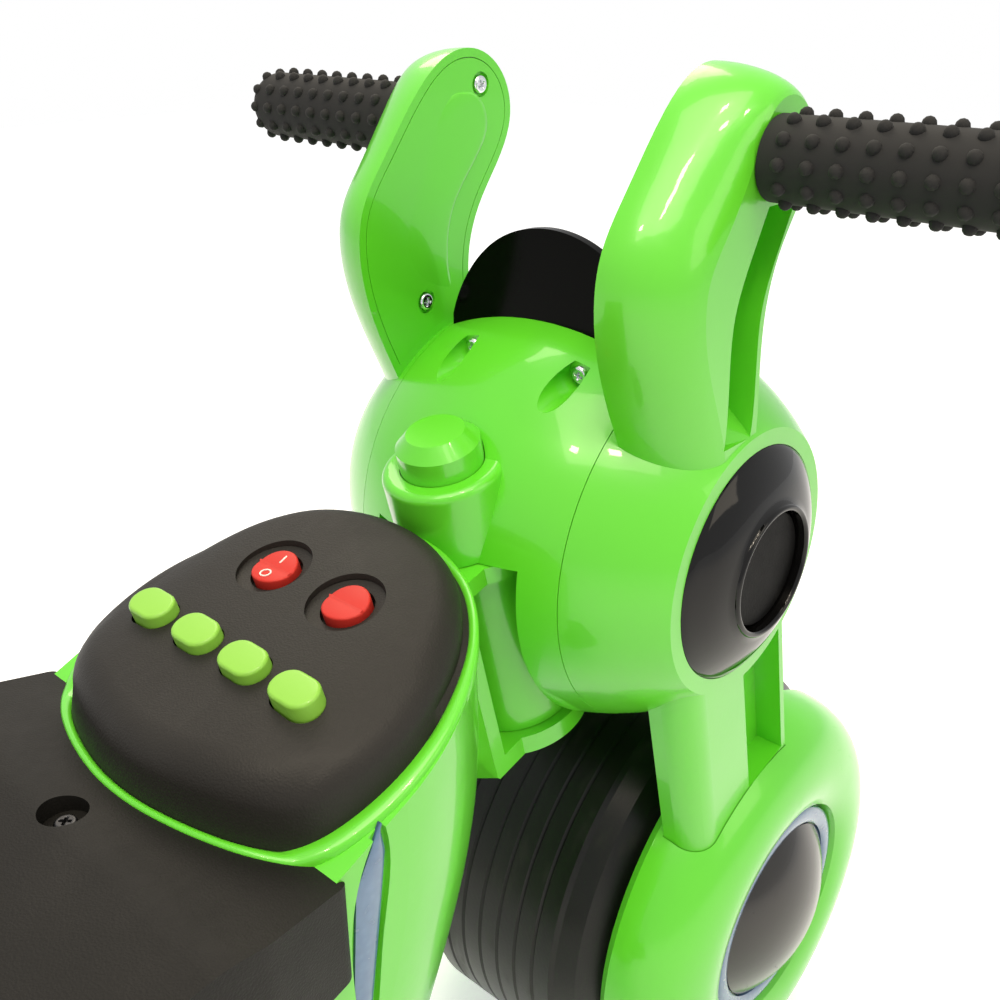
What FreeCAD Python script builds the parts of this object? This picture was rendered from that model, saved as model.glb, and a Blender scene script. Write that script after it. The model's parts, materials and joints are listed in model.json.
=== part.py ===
import FreeCAD, Part
import math
import os

Vec = FreeCAD.Vector

# Ride-on bike, millimetres: +X forward, +Y to the rider's left, +Z up, floor at zero.

# Layout
WHEEL_RADIUS = 106.0
WHEELBASE = 522.0
TAIL_REACH = 114.0
HEAD_CLEARANCE = 97.0
FORK_RUN = 51.0
STEER_SETBACK = 57.0

# Common walls and fits
OVERRUN = 6.0
WALL = 3.0
SEAM_GAP = 0.3
RUNNING_GAP = 0.05

# Head
HEAD_RADIUS = 82.0
HEAD_HALF_SPAN = 104.0
HEAD_SEAM_Y = 49.0
DOME_FACE_Y = 81.0
VISOR_SETBACK = 20.0
VISOR_THICKNESS = 3.5
VISOR_RISE = 113.5
VISOR_ROOT = 56.0
VISOR_SPREAD = 50.0
VISOR_ARCH_SHARES = ((1.0, 0.60), (0.79, 0.82), (0.48, 0.945), (0.0, 1.0))
LAMP_RADIUS = 30.0
LAMP_BEZEL = 3.0
LAMP_DEPTH = 16.0
LAMP_DOME = 6.0
LAMP_DROP = 14.0
GROOVE_RADIUS = 5.2
GROOVE_SLOPE = 10.0
GROOVE_DEPTH = 4.0
GROOVE_BOSS_LENGTH = 14.0
HEAD_SCREW_X = 33.6
HEAD_SCREW_Y = 25.3
SCREW_HEAD_RADIUS = 3.4
SCREW_HEAD_HEIGHT = 2.2
SCREW_SHANK_RADIUS = 1.6
SCREW_LENGTH = 9.0
SCREW_RECESS = 1.6
SCREW_RECESS_RADIUS = 4.6

# Horn pod on the head's rear, along the steering axis
POD_RADIUS = 22.0
POD_SETBACK = 9.2
POD_TOP = 45.6
POD_ROUND = 3.0
POD_WALL = 3.5
POD_FLOOR_DEPTH = 17.0
POD_FLOOR = 2.5
HORN_RADIUS = 15.0
HORN_RISE = 13.0
HORN_BEVEL = 4.6
HORN_TRAVEL = 3.0
NOTCH_HALF_WIDTH = 34.5
NOTCH_REACH = 36.0

# Neck and steering, along the steering axis
NECK_TOP = 15.0
NECK_TOP_PLATE = 7.0
NECK_DROP = 80.0
NECK_LOW_PLATE = 9.0
NECK_RADIUS = 31.0
NECK_WAIST = 23.0
NECK_WEB = 4.0
NECK_FLARE_START = 37.0
NECK_FLARE = 46.0
NECK_LENGTH = 66.0
NECK_HEEL = 36.0
NECK_HEEL_RISE = 46.0
PLATE_GAP = 0.4
KNUCKLE_RADIUS = 27.0
KNUCKLE_ROOM = 4.0
CROWN_BACK = 2.0
CROWN_FRONT = 30.0
CROWN_DROP = 44.0
CROWN_RELIEF = 12.0
SHAFT_RADIUS = 7.0
BUSH_RADIUS = 9.5
SHAFT_HEAD_RADIUS = 12.0
SHAFT_HEAD = 5.0
NUT_RADIUS = 11.0
NUT_HEIGHT = 6.0
SHAFT_TAIL = 8.0
NUT_ROOM = 16.0

# Ears that carry the grips
EAR_INNER_Y = 53.0
EAR_OUTER_Y = 80.0
EAR_RISE = 172.0
EAR_DEPTH = 84.0
EAR_ROUND = 25.0
EAR_SHARES = ((-0.46, 0.20), (-0.61, 0.36), (-0.75, 0.57), (-0.73, 0.686), (-0.58, 0.797),
              (-0.37, 0.92), (-0.18, 0.985), (0.01, 0.99), (0.18, 0.93), (0.225, 0.85),
              (0.155, 0.762), (0.01, 0.663), (-0.065, 0.57), (-0.07, 0.465), (-0.06, 0.20))
EAR_ROUND_SHARES = (0.9, 1.0, 1.0, 1.0, 0.95, 0.75, 0.5, 0.4, 0.3, 0.2, 0.1, 0.05, 0.0, 0.0, 0.0)
EAR_LAYER_SHARES = (0.0, 0.4, 0.65, 0.82, 0.93, 0.985)
EAR_GROOVE_SHARES = ((0.08, 0.755), (-0.02, 0.663), (-0.095, 0.57), (-0.10, 0.465), (-0.09, 0.30))
EAR_GROOVE_WIDTH = 17.0
EAR_GROOVE_DEPTH = 15.0
EAR_RIM = 3.2
EAR_COVER = 2.5
EAR_SCREW_SHARES = ((0.02, 0.918), (-0.36, 0.465))

# Grips
GRIP_X = 9.5
GRIP_Z = 144.5
GRIP_RADIUS = 13.2
GRIP_END_Y = 170.0
GRIP_END_ROUND = 9.0
GRIP_COLLAR = 0.3
STUB_RADIUS = 9.0
STUB_ROOT = 20.0
STUB_END_GAP = 10.0
NUB_RADIUS = 2.3
NUB_HEIGHT = 2.3
NUB_ROWS = 7
NUB_PER_ROW = 8
NUB_MARGIN = 7.0

# Ear cups on the head's sides
CUP_RADIUS = 45.0
CUP_SEAT = 2.0
CUP_LIP_RADIUS = 25.5
CUP_LIP_Y = 91.6
CUP_LIP_WALL = 2.6
CUP_WELL = 6.0
CUP_DISC = 2.0

# Fork legs
LEG_INNER_Y = 63.0
LEG_OUTER_Y = 81.0
LEG_REAR = 46.0
LEG_FRONT = 22.0
LEG_ROUND = 12.0
LEG_FLANGE = 3.0
LEG_GROOVE = 27.0
LEG_GROOVE_DEPTH = 12.0
LEG_GROOVE_TOP = 30.0
LEG_GROOVE_END = 118.0
LEG_FOOT_RADIUS = 40.0

# Wheels
TYRE_HALF_WIDTH = 55.0
TREAD_HALF_WIDTH = 36.0
RIB_COUNT = 7
RIB_GROOVE = 2.0
RIB_GROOVE_DEPTH = 1.6
SHOULDER_DROP = 16.0
DRUM_WALL = 9.0
HUB_RADIUS = 20.0
AXLE_RADIUS = 6.0
WHEEL_BUSH_RADIUS = 9.0
WHEEL_BUSH_LENGTH = 16.0
WEB_THICKNESS = 8.0

# Wheel covers, by distance from the mid-plane and radius
COVER_INNER_Y = 56.5
COVER_SEAM_Y = 60.0
REAR_SEAM_Y = 64.0
COVER_RIM = 99.0
COVER_Y_SPAN = 33.0
COVER_SHARES = ((0.0, 1.0), (0.30, 0.985), (0.60, 0.94), (0.82, 0.865), (0.95, 0.775), (1.0, 0.69),
                (0.975, 0.61), (0.89, 0.545))
COVER_INSET_SHARES = (1.0, 1.0, 0.95, 0.8, 0.4, 0.0, -0.5, -1.0)
COVER_WALL = 2.6
COVER_FLOOR = 24.0
LED_OUTER = 52.0
LED_INNER = 43.5
LED_PROUD = 4.5
HUB_CAP_RADIUS = 42.8
HUB_CAP_RIM = 3.0
HUB_CAP_DOME = 15.0
AXLE_NUT_RADIUS = 10.0
AXLE_NUT_HEIGHT = 8.0

# Body shell, about the axis of its round front
BODY_RADIUS = 73.0
BODY_WALL = 3.5
BODY_DEPTH = 212.0
BODY_SIDE_SHARES = ((0.387, 1.0), (0.969, 0.66), (1.0, 0.33), (0.979, 0.055), (0.805, 0.10), (0.61, 0.17))
BODY_SIDE_ROUNDS = (26.0, 10.0, 40.0, 14.0, 60.0, 60.0)
BODY_NOSE_RISE = 3.9
BODY_STEP_RUN = 4.0
BODY_STEP_ROUNDS = (2.0, 1.0)
BODY_SWEEPBACK = 72.0
BODY_LEVEL_SHARES = ((0.15, 0.0), (-0.16, 0.03), (-0.39, 0.19), (-0.53, 0.37), (-0.76, 0.66), (-1.02, 1.0))
BODY_TAIL_ROUND = 52.0
BODY_LIP = 3.2
WELL_GAP = 6.0
LOBE_WALL = 6.0

# Dash, about the same axis
DASH_RADIUS = 69.5
DASH_TAIL = 32.0
DASH_SWEEP = 100.0
DASH_CORNER = 24.0
RIM_FRONT_Z = 19.0
RIM_REAR_Z = -20.0
PLATEAU_LEAD = 26.4
PLATEAU_RISE = 19.8
PLATEAU_SLOPE = 15.0
DASH_ROUND = 22.0
DASH_WALL = 3.0
ROCKER_Y = 17.6
ROCKER_RADIUS = 9.6
ROCKER_RISE = 2.6
ROCKER_ANGLE = 8.0
BEZEL_RADIUS = 12.6
BEZEL_SINK = 3.2
BEZEL_DEPTH = 16.0
BEZEL_WALL = 1.4
ROCKER_PIN = 1.5
BUTTON_SETBACK = 34.4
BUTTON_PITCH = 23.8
BUTTON_LENGTH = 17.5
BUTTON_WIDTH = 13.0
BUTTON_CORNER_SHARE = 0.8
BUTTON_RISE = 4.0
BUTTON_ROUND = 1.6
BUTTON_STEM = 9.0
BUTTON_TRAVEL = 1.5
BUTTON_COUNT = 4

# Seat
SEAT_SETBACK = 25.0
SEAT_LENGTH = 320.0
SEAT_HALF_WIDTH = 80.0
SEAT_RISE = 52.0
SEAT_SIDE_SHARES = ((0.0, -0.32), (0.0, 0.32), (0.13, 0.45), (0.44, 0.34), (0.75, 0.72), (0.93, 1.06),
                    (1.0, 0.92), (0.98, -0.32))
SEAT_SIDE_ROUNDS = (0.0, 3.0, 40.0, 160.0, 90.0, 16.0, 8.0, 0.0)
SEAT_FRONT_HALF = 75.0
SEAT_SHOULDER = 30.0
SEAT_REAR_HALF = 66.0
SEAT_CORNER = 26.0
SEAT_ROUND = 5.0
SEAT_SCREW_INSET = 39.0
SEAT_HOLE_RADIUS = 7.0
SEAT_HOLE_DEPTH = 6.0

# Light strips
STRIP_SETBACK = 24.0
STRIP_DROP = 10.0
STRIP_LENGTH = 88.0
STRIP_WIDTH = 15.0
STRIP_FRONT_SHARES = ((0.87, 0.0), (1.0, 0.13), (0.73, 0.45), (0.35, 0.85), (0.0, 1.0))
STRIP_REAR_SHARES = ((0.0, 1.0), (-0.05, 0.6), (0.15, 0.22), (0.87, 0.0))
STRIP_PROUD = 1.2
STRIP_SINK = 2.0

# Charging socket
SOCKET_SETBACK = 90.0
SOCKET_DROP = 84.0
SOCKET_RADIUS = 6.0
SOCKET_FLANGE = 1.6
SOCKET_BORE_RADIUS = 2.8
SOCKET_BORE_LENGTH = 9.5

# Foot rests and pedal
REST_MIDDLE_SHARE = 0.517
REST_LENGTH_SHARE = 0.676
REST_TIP_SHARE = 0.8
REST_REACH = 54.0
REST_LIFT = 4.0
REST_THICKNESS = 14.0
REST_CORNER = 22.0
REST_ROUND = 3.0
REST_RIB_COUNT = 7
REST_RIB = 4.0
REST_RIB_DEPTH = 2.0
REST_RIBBED_SHARE = 0.7
PEDAL_LENGTH = 66.0
PEDAL_WIDTH = 34.0
PEDAL_THICKNESS = 5.0
PEDAL_TILT = 9.0
PEDAL_INSET_SHARE = 0.25
PEDAL_RIB_SHARES = (0.3, 0.43, 0.56, 0.69, 0.82)
PEDAL_RIB_SPAN_SHARE = 0.7
LUG_WIDTH = 4.0
LUG_RISE = 5.0
LUG_RADIUS = 5.0
TRUNNION_RADIUS = 2.5

# Inner pieces
BATTERY_SHARES = (0.178, 0.71)
BATTERY_WIDTH = 70.0
BATTERY_HEIGHT = 94.0
BATTERY_CAP = 6.0
TERMINAL_RADIUS = 3.0
TERMINAL_HEIGHT = 5.0
SPEAKER_MIDDLE_SHARE = 0.811
SPEAKER_RADIUS_SHARE = 0.09
SPEAKER_NECK_SHARE = 0.53
SPEAKER_HEIGHT = 16.0
SPEAKER_RIM = 3.0
BOARD_LENGTH = 34.0
BOARD_WIDTH = 92.0
BOARD_THICKNESS = 1.6
BOARD_GAP = 0.6
SWITCH_SIDE = 7.0
SWITCH_HEIGHT = 4.0
BOSS_RADIUS = 3.4
BOSS_INSET = 5.0
GEARBOX_RADIUS = 34.0
GEARBOX_NOSE = 24.0
GEARBOX_OFFSET = 48.0
GEARBOX_INNER_Y = 30.0
MOTOR_RADIUS = 17.0
MOTOR_LENGTH = 42.0
MOTOR_BOSS = 6.0
MOTOR_BOSS_LENGTH = 4.0
DRIVE_HUB_RADIUS = 15.0
DRIVE_DOGS = 6
DOG_DEPTH = 3.0

# Derived places
front_axle_x = (WHEELBASE + TAIL_REACH - WHEEL_RADIUS) / 2
rear_axle_x = front_axle_x - WHEELBASE
axle_z = WHEEL_RADIUS
head_x = front_axle_x - FORK_RUN
head_z = axle_z + WHEEL_RADIUS + HEAD_CLEARANCE
rake = math.degrees(math.atan2(FORK_RUN, head_z - axle_z))
steer_frame = FreeCAD.Placement(Vec(head_x - STEER_SETBACK, 0, head_z),
                                FreeCAD.Rotation(Vec(0, 1, 0), -rake))
neck_web_front = KNUCKLE_RADIUS + KNUCKLE_ROOM
body_x = head_x - STEER_SETBACK - neck_web_front - NECK_WEB - BODY_RADIUS
tail_x = rear_axle_x - TAIL_REACH
bay_rear = rear_axle_x + WHEEL_RADIUS + WELL_GAP + BODY_WALL
bay = body_x - BODY_SWEEPBACK + BODY_RADIUS - BODY_WALL - bay_rear
flank = body_x - rear_axle_x - COVER_RIM
rest_x = rear_axle_x + COVER_RIM + flank * REST_MIDDLE_SHARE
rest_length = flank * REST_LENGTH_SHARE
rest_top = head_z - BODY_DEPTH + REST_LIFT + REST_THICKNESS
leg_frame = FreeCAD.Placement(Vec(head_x, 0, head_z), FreeCAD.Rotation(Vec(0, 1, 0), -rake))
plateau_frame = FreeCAD.Placement(Vec(body_x + PLATEAU_LEAD, 0, head_z + PLATEAU_RISE),
                                  FreeCAD.Rotation(Vec(0, 1, 0), -PLATEAU_SLOPE))
LEFT, RIGHT = 1, -1
SIDES = (("left", LEFT), ("right", RIGHT))
Y_AXIS = Vec(0, 1, 0)
Z_AXIS = Vec(0, 0, 1)


# Helpers
def edge(run):
    """A straight edge through two points, or a smooth curve through more."""
    if len(run) == 2:
        return Part.makeLine(run[0], run[1])
    curve = Part.BSplineCurve()
    curve.interpolate(Points=run)
    return curve.toShape()


def face(*runs):
    """A flat face bounded by runs of points that follow each other."""
    return Part.Face(Part.Wire([edge(run) for run in runs]))


def polygon(points):
    """A flat face with straight sides."""
    return Part.Face(Part.makePolygon(points + points[:1]))


def rounded(corners):
    """A flat face whose corners (point, radius) are rounded by tangent arcs."""
    count = len(corners)
    edges = []
    starts = []
    ends = []
    for i, (here, radius) in enumerate(corners):
        back = (corners[i - 1][0] - here).normalize()
        on = (corners[(i + 1) % count][0] - here).normalize()
        half = back.getAngle(on) / 2
        reach = radius / math.tan(half)
        starts.append(here + back * reach)
        ends.append(here + on * reach)
        if radius:
            bisector = (back + on).normalize()
            middle = here + bisector * (radius / math.sin(half) - radius)
            edges.append(Part.Arc(starts[i], middle, ends[i]).toShape())
        edges.append(None)
    out = []
    i = 0
    for item in edges:
        if item is None:
            following = starts[(i + 1) % count]
            if (following - ends[i]).Length > SEAM_GAP:
                out.append(Part.makeLine(ends[i], following))
            i += 1
        else:
            out.append(item)
    return Part.Face(Part.Wire(out))


def revolve(flat, x, z):
    """Turn a face about the lateral axis through x, z."""
    return flat.revolve(Vec(x, 0, z), Y_AXIS, 360)


def turned(profile, x, z):
    """A solid of revolution about a lateral axis from (y, radius) points."""
    return revolve(polygon([Vec(x, y, z + r) for y, r in profile]), x, z)


def prism_y(flat, low, high):
    """A face in the plane y = 0 carried from low to high along Y."""
    moved = flat.copy()
    moved.translate(Vec(0, low, 0))
    return moved.extrude(Vec(0, high - low, 0))


def prism_z(flat, low, high):
    """A face in the plane z = 0 carried from low to high along Z."""
    moved = flat.copy()
    moved.translate(Vec(0, 0, low))
    return moved.extrude(Vec(0, 0, high - low))


def rod_y(radius, low, high, x, z):
    """A cylinder along Y."""
    return Part.makeCylinder(radius, high - low, Vec(x, low, z), Y_AXIS)


def rod_z(radius, low, high, x=0, y=0):
    """A cylinder along Z."""
    return Part.makeCylinder(radius, high - low, Vec(x, y, low), Z_AXIS)


def block(x_low, x_high, y_low, y_high, z_low, z_high):
    """A box between two corners."""
    return Part.makeBox(x_high - x_low, y_high - y_low, z_high - z_low, Vec(x_low, y_low, z_low))


def placed(shape, frame):
    """A copy of a shape built about the origin, set in a frame."""
    out = shape.copy()
    out.Placement = frame.multiply(out.Placement)
    return out


def sided(shape, side):
    """The left-hand shape itself, or its mirror for the right."""
    return shape if side == LEFT else shape.mirror(Vec(0, 0, 0), Y_AXIS)


def outer_edges(shape, y):
    """Edges that lie wholly in the plane at y."""
    return [e for e in shape.Edges if abs(e.BoundBox.YMin - y) + abs(e.BoundBox.YMax - y) < RUNNING_GAP]


def top_edges(shape, z):
    """Edges that lie wholly in the level plane at z."""
    return [e for e in shape.Edges if abs(e.BoundBox.ZMin - z) + abs(e.BoundBox.ZMax - z) < RUNNING_GAP]


def export(name, shape):
    """Write one node."""
    shape.exportStep("parts/" + name + ".step")


# Head
def head_radius_at(y, inset=0.0):
    """Radius of the head's outer skin at a distance from the mid-plane."""
    return HEAD_RADIUS * math.sqrt(1 - (y / HEAD_HALF_SPAN) ** 2) - inset


def head_round(y_low, y_high, inset=0.0):
    """The head's full round between two lateral planes."""
    steps = 8
    ys = [y_low + (y_high - y_low) * i / steps for i in range(steps + 1)]
    skin = [Vec(head_x, y, head_z + head_radius_at(y, inset)) for y in ys]
    low, high = Vec(head_x, y_low, head_z), Vec(head_x, y_high, head_z)
    return revolve(face([low, skin[0]], skin, [skin[-1], high], [high, low]), head_x, head_z)


def neck_notch():
    """The rear and lower opening that the neck swings in."""
    low = -NECK_DROP - HEAD_RADIUS
    return placed(block(-HEAD_RADIUS, NOTCH_REACH, -NOTCH_HALF_WIDTH, NOTCH_HALF_WIDTH,
                        low, NECK_TOP + PLATE_GAP), steer_frame)


def groove_frame(side):
    """Frame of a screw groove: its Z runs down and to the rear along the skin."""
    radius = head_radius_at(HEAD_SCREW_Y)
    lean = math.asin(HEAD_SCREW_X / radius)
    depth = radius - GROOVE_DEPTH
    place = Vec(head_x - depth * math.sin(lean), side * HEAD_SCREW_Y, head_z + depth * math.cos(lean))
    return FreeCAD.Placement(place, FreeCAD.Rotation(Y_AXIS, -90 - GROOVE_SLOPE))


def horn_pod():
    """The cup that holds the horn button, hollow below its floor."""
    cup = rod_z(POD_RADIUS, NECK_TOP + PLATE_GAP, POD_TOP, -POD_SETBACK)
    return placed(cup.makeFillet(POD_ROUND, top_edges(cup, POD_TOP)), steer_frame)


def horn_hollow():
    """The button's bore, the space under its floor and the room round the steering nut."""
    floor = POD_TOP - POD_FLOOR_DEPTH
    bore = rod_z(HORN_RADIUS + SEAM_GAP, floor, POD_TOP + OVERRUN, -POD_SETBACK)
    under = rod_z(POD_RADIUS - POD_WALL, NECK_TOP - OVERRUN, floor - POD_FLOOR, -POD_SETBACK)
    room = rod_z(NUT_ROOM, NECK_TOP - OVERRUN, floor - POD_FLOOR)
    return placed(bore.fuse(under).fuse(room), steer_frame)


def horn_button():
    """Round horn button with a bevelled top, its travel free below it."""
    low, high = POD_TOP - POD_FLOOR_DEPTH + HORN_TRAVEL + SEAM_GAP, POD_TOP + HORN_RISE
    button = rod_z(HORN_RADIUS, low, high, -POD_SETBACK)
    return placed(button.makeChamfer(HORN_BEVEL, top_edges(button, high)), steer_frame)


def head_rear_shell():
    """Rear half of the head's middle, with horn pod, screw grooves and neck notch."""
    split = head_x - VISOR_SETBACK
    rear = block(split - 2 * HEAD_RADIUS, split, -HEAD_RADIUS, HEAD_RADIUS,
                 head_z - 2 * HEAD_RADIUS, head_z + 2 * HEAD_RADIUS)
    pod = horn_pod()
    half = HEAD_SEAM_Y - SEAM_GAP
    hollow = head_round(-half - OVERRUN, half + OVERRUN, WALL).cut(pod)
    for side in (LEFT, RIGHT):
        boss = rod_z(GROOVE_RADIUS + WALL, -GROOVE_BOSS_LENGTH, HEAD_RADIUS)
        hollow = hollow.cut(placed(boss, groove_frame(side)))
    shell = head_round(-half, half).common(rear).fuse(pod).cut(hollow)
    for side in (LEFT, RIGHT):
        groove = rod_z(GROOVE_RADIUS, 0, HEAD_RADIUS)
        hole = rod_z(SCREW_SHANK_RADIUS + RUNNING_GAP, -GROOVE_BOSS_LENGTH, 0)
        shell = shell.cut(placed(groove.fuse(hole), groove_frame(side)))
    return shell.cut(horn_hollow()).cut(neck_notch())


def screw():
    """A pan-head screw: head above zero, shank below."""
    head = rod_z(SCREW_HEAD_RADIUS, 0, SCREW_HEAD_HEIGHT)
    return head.fuse(rod_z(SCREW_SHANK_RADIUS, -SCREW_LENGTH, 0)).removeSplitter()


def lamp_frame():
    """Frame of the head lamp: its Z looks forward out of the front shell."""
    return FreeCAD.Placement(Vec(head_x, 0, head_z - LAMP_DROP), FreeCAD.Rotation(Y_AXIS, 90))


def lamp_depth():
    """Distance from the head's axis to the lamp's front rim."""
    reach = LAMP_RADIUS + LAMP_DROP
    return math.sqrt(HEAD_RADIUS ** 2 - reach ** 2) + WALL


def head_front_shell():
    """Front half of the head's middle with the round seat of the lamp."""
    split = head_x - VISOR_SETBACK + VISOR_THICKNESS + SEAM_GAP
    front = block(split, split + 2 * HEAD_RADIUS, -HEAD_RADIUS, HEAD_RADIUS,
                  head_z - 2 * HEAD_RADIUS, head_z + 2 * HEAD_RADIUS)
    half = HEAD_SEAM_Y - SEAM_GAP
    tube = rod_z(LAMP_RADIUS + LAMP_BEZEL, lamp_depth() - LAMP_DEPTH - WALL, lamp_depth())
    tube = placed(tube, lamp_frame())
    hollow = head_round(-half - OVERRUN, half + OVERRUN, WALL).cut(tube)
    shell = head_round(-half, half).common(front).fuse(tube).cut(hollow)
    pocket = rod_z(LAMP_RADIUS, lamp_depth() - LAMP_DEPTH, lamp_depth() + HEAD_RADIUS)
    return shell.cut(placed(pocket, lamp_frame())).cut(neck_notch())


def head_lamp():
    """Domed lamp lens that fills the front shell's round seat."""
    back, rim = lamp_depth() - LAMP_DEPTH, lamp_depth() - WALL
    radius = LAMP_RADIUS - SEAM_GAP
    dome = [Vec(radius, 0, rim), Vec(radius * math.sqrt(0.5), 0, rim + LAMP_DOME / 2),
            Vec(0, 0, rim + LAMP_DOME)]
    flat = face([Vec(0, 0, back), Vec(radius, 0, back)], [Vec(radius, 0, back), dome[0]], dome,
                [dome[-1], Vec(0, 0, back)])
    return placed(flat.revolve(Vec(0, 0, 0), Z_AXIS, 360), lamp_frame())


def visor():
    """Arched plate that stands between the two head shells."""
    x = head_x - VISOR_SETBACK + SEAM_GAP / 2
    arch = [Vec(x, -s * VISOR_SPREAD, head_z + h * VISOR_RISE) for s, h in VISOR_ARCH_SHARES]
    arch += [Vec(x, s * VISOR_SPREAD, head_z + h * VISOR_RISE) for s, h in VISOR_ARCH_SHARES[-2::-1]]
    foot = head_z + VISOR_ROOT
    half = HEAD_SEAM_Y - SEAM_GAP
    low_right, low_left = Vec(x, -half, foot), Vec(x, half, foot)
    flat = face([low_left, low_right], [low_right, arch[0]], arch, [arch[-1], low_left])
    plate = flat.extrude(Vec(VISOR_THICKNESS, 0, 0))
    side = block(x - OVERRUN, x + OVERRUN, -half, half, foot, head_z + 2 * VISOR_RISE)
    return plate.common(side)


# Side mouldings
def ear_points(shares):
    """Outline points of the ear in the side view."""
    return [Vec(head_x + x * EAR_DEPTH, 0, head_z + z * EAR_RISE) for x, z in shares]


def inset_points(points, insets):
    """Points of an open outline moved in, each by its own inset, square to the outline."""
    moved = []
    last = len(points) - 1
    for i, inset in enumerate(insets):
        along = points[min(i + 1, last)] - points[max(i - 1, 0)]
        across = Vec(along.z, 0, -along.x).normalize()
        moved.append(points[i] + across * inset)
    return moved


def ear_face(insets):
    """Side view of an ear with its edge drawn in, its foot inside the head's dome."""
    rim = inset_points(ear_points(EAR_SHARES), insets)
    return face(rim, [rim[-1], rim[0]])


def ear_cover(inset, low, high):
    """Block with the ear's outline, set in from its edge and ending above the head's skin."""
    foot = head_round(low - OVERRUN, high + OVERRUN, -EAR_RIM)
    return prism_y(ear_face([inset] * len(EAR_SHARES)), low, high).cut(foot)


def ear_form():
    """Left ear's outer form: its side view drawn in layer by layer to a full outer rounding."""
    layers = []
    for share in EAR_LAYER_SHARES:
        drawn = EAR_ROUND * (1 - math.sqrt(1 - share ** 2))
        layer = ear_face([drawn * round_share for round_share in EAR_ROUND_SHARES]).OuterWire
        layer.translate(Vec(0, EAR_INNER_Y + share / EAR_LAYER_SHARES[-1] * (EAR_OUTER_Y - EAR_INNER_Y), 0))
        layers.append(layer)
    return Part.makeLoft(layers, True)


def ear():
    """Left ear with its rounded outer edge, front groove and cover rebate."""
    solid = ear_form()
    front = ear_points(EAR_GROOVE_SHARES)
    back = [p - Vec(EAR_GROOVE_WIDTH, 0, 0) for p in reversed(front)]
    pocket = face(front, [front[-1], back[0]], back, [back[-1], front[0]])
    solid = solid.cut(prism_y(pocket, EAR_OUTER_Y - EAR_GROOVE_DEPTH, EAR_OUTER_Y + OVERRUN))
    return solid.cut(ear_cover(EAR_RIM, EAR_INNER_Y - OVERRUN, EAR_INNER_Y + EAR_COVER))


def leg_length():
    """Distance from the head's axis down to the axle."""
    return math.hypot(FORK_RUN, head_z - axle_z)


def leg_bar(grow):
    """Straight bar of the left leg in its own frame, rounded at its outer rear edge."""
    rear, front = LEG_REAR + grow, LEG_FRONT + grow
    inner, outer = LEG_INNER_Y - grow, LEG_OUTER_Y + grow
    section = rounded([(Vec(-rear, inner, 0), 0.0), (Vec(front, inner, 0), 0.0), (Vec(front, outer, 0), 0.0),
                       (Vec(-rear, outer, 0), LEG_ROUND + grow)])
    return prism_z(section, -leg_length(), 0)


def leg():
    """Left leg in its own frame: zero at the head's axis, down the rake to the axle."""
    pocket = block(LEG_FRONT - LEG_FLANGE - LEG_GROOVE, LEG_FRONT - LEG_FLANGE,
                   LEG_OUTER_Y - LEG_GROOVE_DEPTH, LEG_OUTER_Y + OVERRUN,
                   -LEG_GROOVE_END, -LEG_GROOVE_TOP)
    foot = rod_y(LEG_FOOT_RADIUS, LEG_INNER_Y, LEG_OUTER_Y, 0, -leg_length())
    return leg_bar(0.0).cut(pocket).fuse(foot)


def fork_side():
    """Left side moulding: head dome, ear above it and leg below it."""
    body = head_round(HEAD_SEAM_Y, DOME_FACE_Y)
    body = body.fuse(ear()).fuse(placed(leg(), leg_frame))
    seat = rod_y(CUP_RADIUS + SEAM_GAP, DOME_FACE_Y - CUP_SEAT, HEAD_HALF_SPAN, head_x, head_z)
    axle = rod_y(AXLE_RADIUS + SEAM_GAP, LEG_INNER_Y - OVERRUN, LEG_OUTER_Y + OVERRUN, front_axle_x, axle_z)
    stub = rod_y(STUB_RADIUS + RUNNING_GAP, EAR_OUTER_Y - STUB_ROOT, EAR_OUTER_Y + OVERRUN,
                 head_x - GRIP_X, head_z + GRIP_Z)
    body = body.cut(seat).cut(axle).cut(stub)
    for hole in ear_screw_frames():
        shank = rod_z(SCREW_SHANK_RADIUS + RUNNING_GAP, -SCREW_LENGTH - OVERRUN, OVERRUN)
        body = body.cut(placed(shank, hole))
    return body.removeSplitter()


def ear_screw_frames():
    """Frames of the left ear's cover screws, looking in to the mid-plane."""
    turn = FreeCAD.Rotation(Vec(1, 0, 0), 90)
    seat = Vec(0, EAR_INNER_Y + SCREW_RECESS, 0)
    return [FreeCAD.Placement(p + seat, turn) for p in ear_points(EAR_SCREW_SHARES)]


def ear_panel():
    """Left ear's inner panel, flush in its rebate."""
    panel = ear_cover(EAR_RIM + SEAM_GAP, EAR_INNER_Y, EAR_INNER_Y + EAR_COVER)
    for hole in ear_screw_frames():
        hollow = rod_z(SCREW_SHANK_RADIUS + RUNNING_GAP, -OVERRUN, OVERRUN)
        hollow = hollow.fuse(rod_z(SCREW_RECESS_RADIUS, 0, OVERRUN))
        panel = panel.cut(placed(hollow, hole))
    return panel


def shell_screws():
    """The ears' four cover screws and the two at the ends of the head's grooves."""
    ears = [placed(screw(), f) for f in ear_screw_frames()]
    head = [placed(screw(), groove_frame(side)) for side in (LEFT, RIGHT)]
    return Part.makeCompound(ears + [sided(s, RIGHT) for s in ears] + head)


def stubs():
    """The steel stubs pressed into the ears that carry the grips."""
    low, high = EAR_OUTER_Y - STUB_ROOT, GRIP_END_Y - STUB_END_GAP
    stub = rod_y(STUB_RADIUS, low, high, head_x - GRIP_X, head_z + GRIP_Z)
    return Part.makeCompound([stub, sided(stub, RIGHT)])


def diamond(radius, z):
    """Closed run of a level square's corners at a height."""
    return [Vec(radius, 0, z), Vec(0, radius, z), Vec(-radius, 0, z), Vec(0, -radius, z), Vec(radius, 0, z)]


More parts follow.
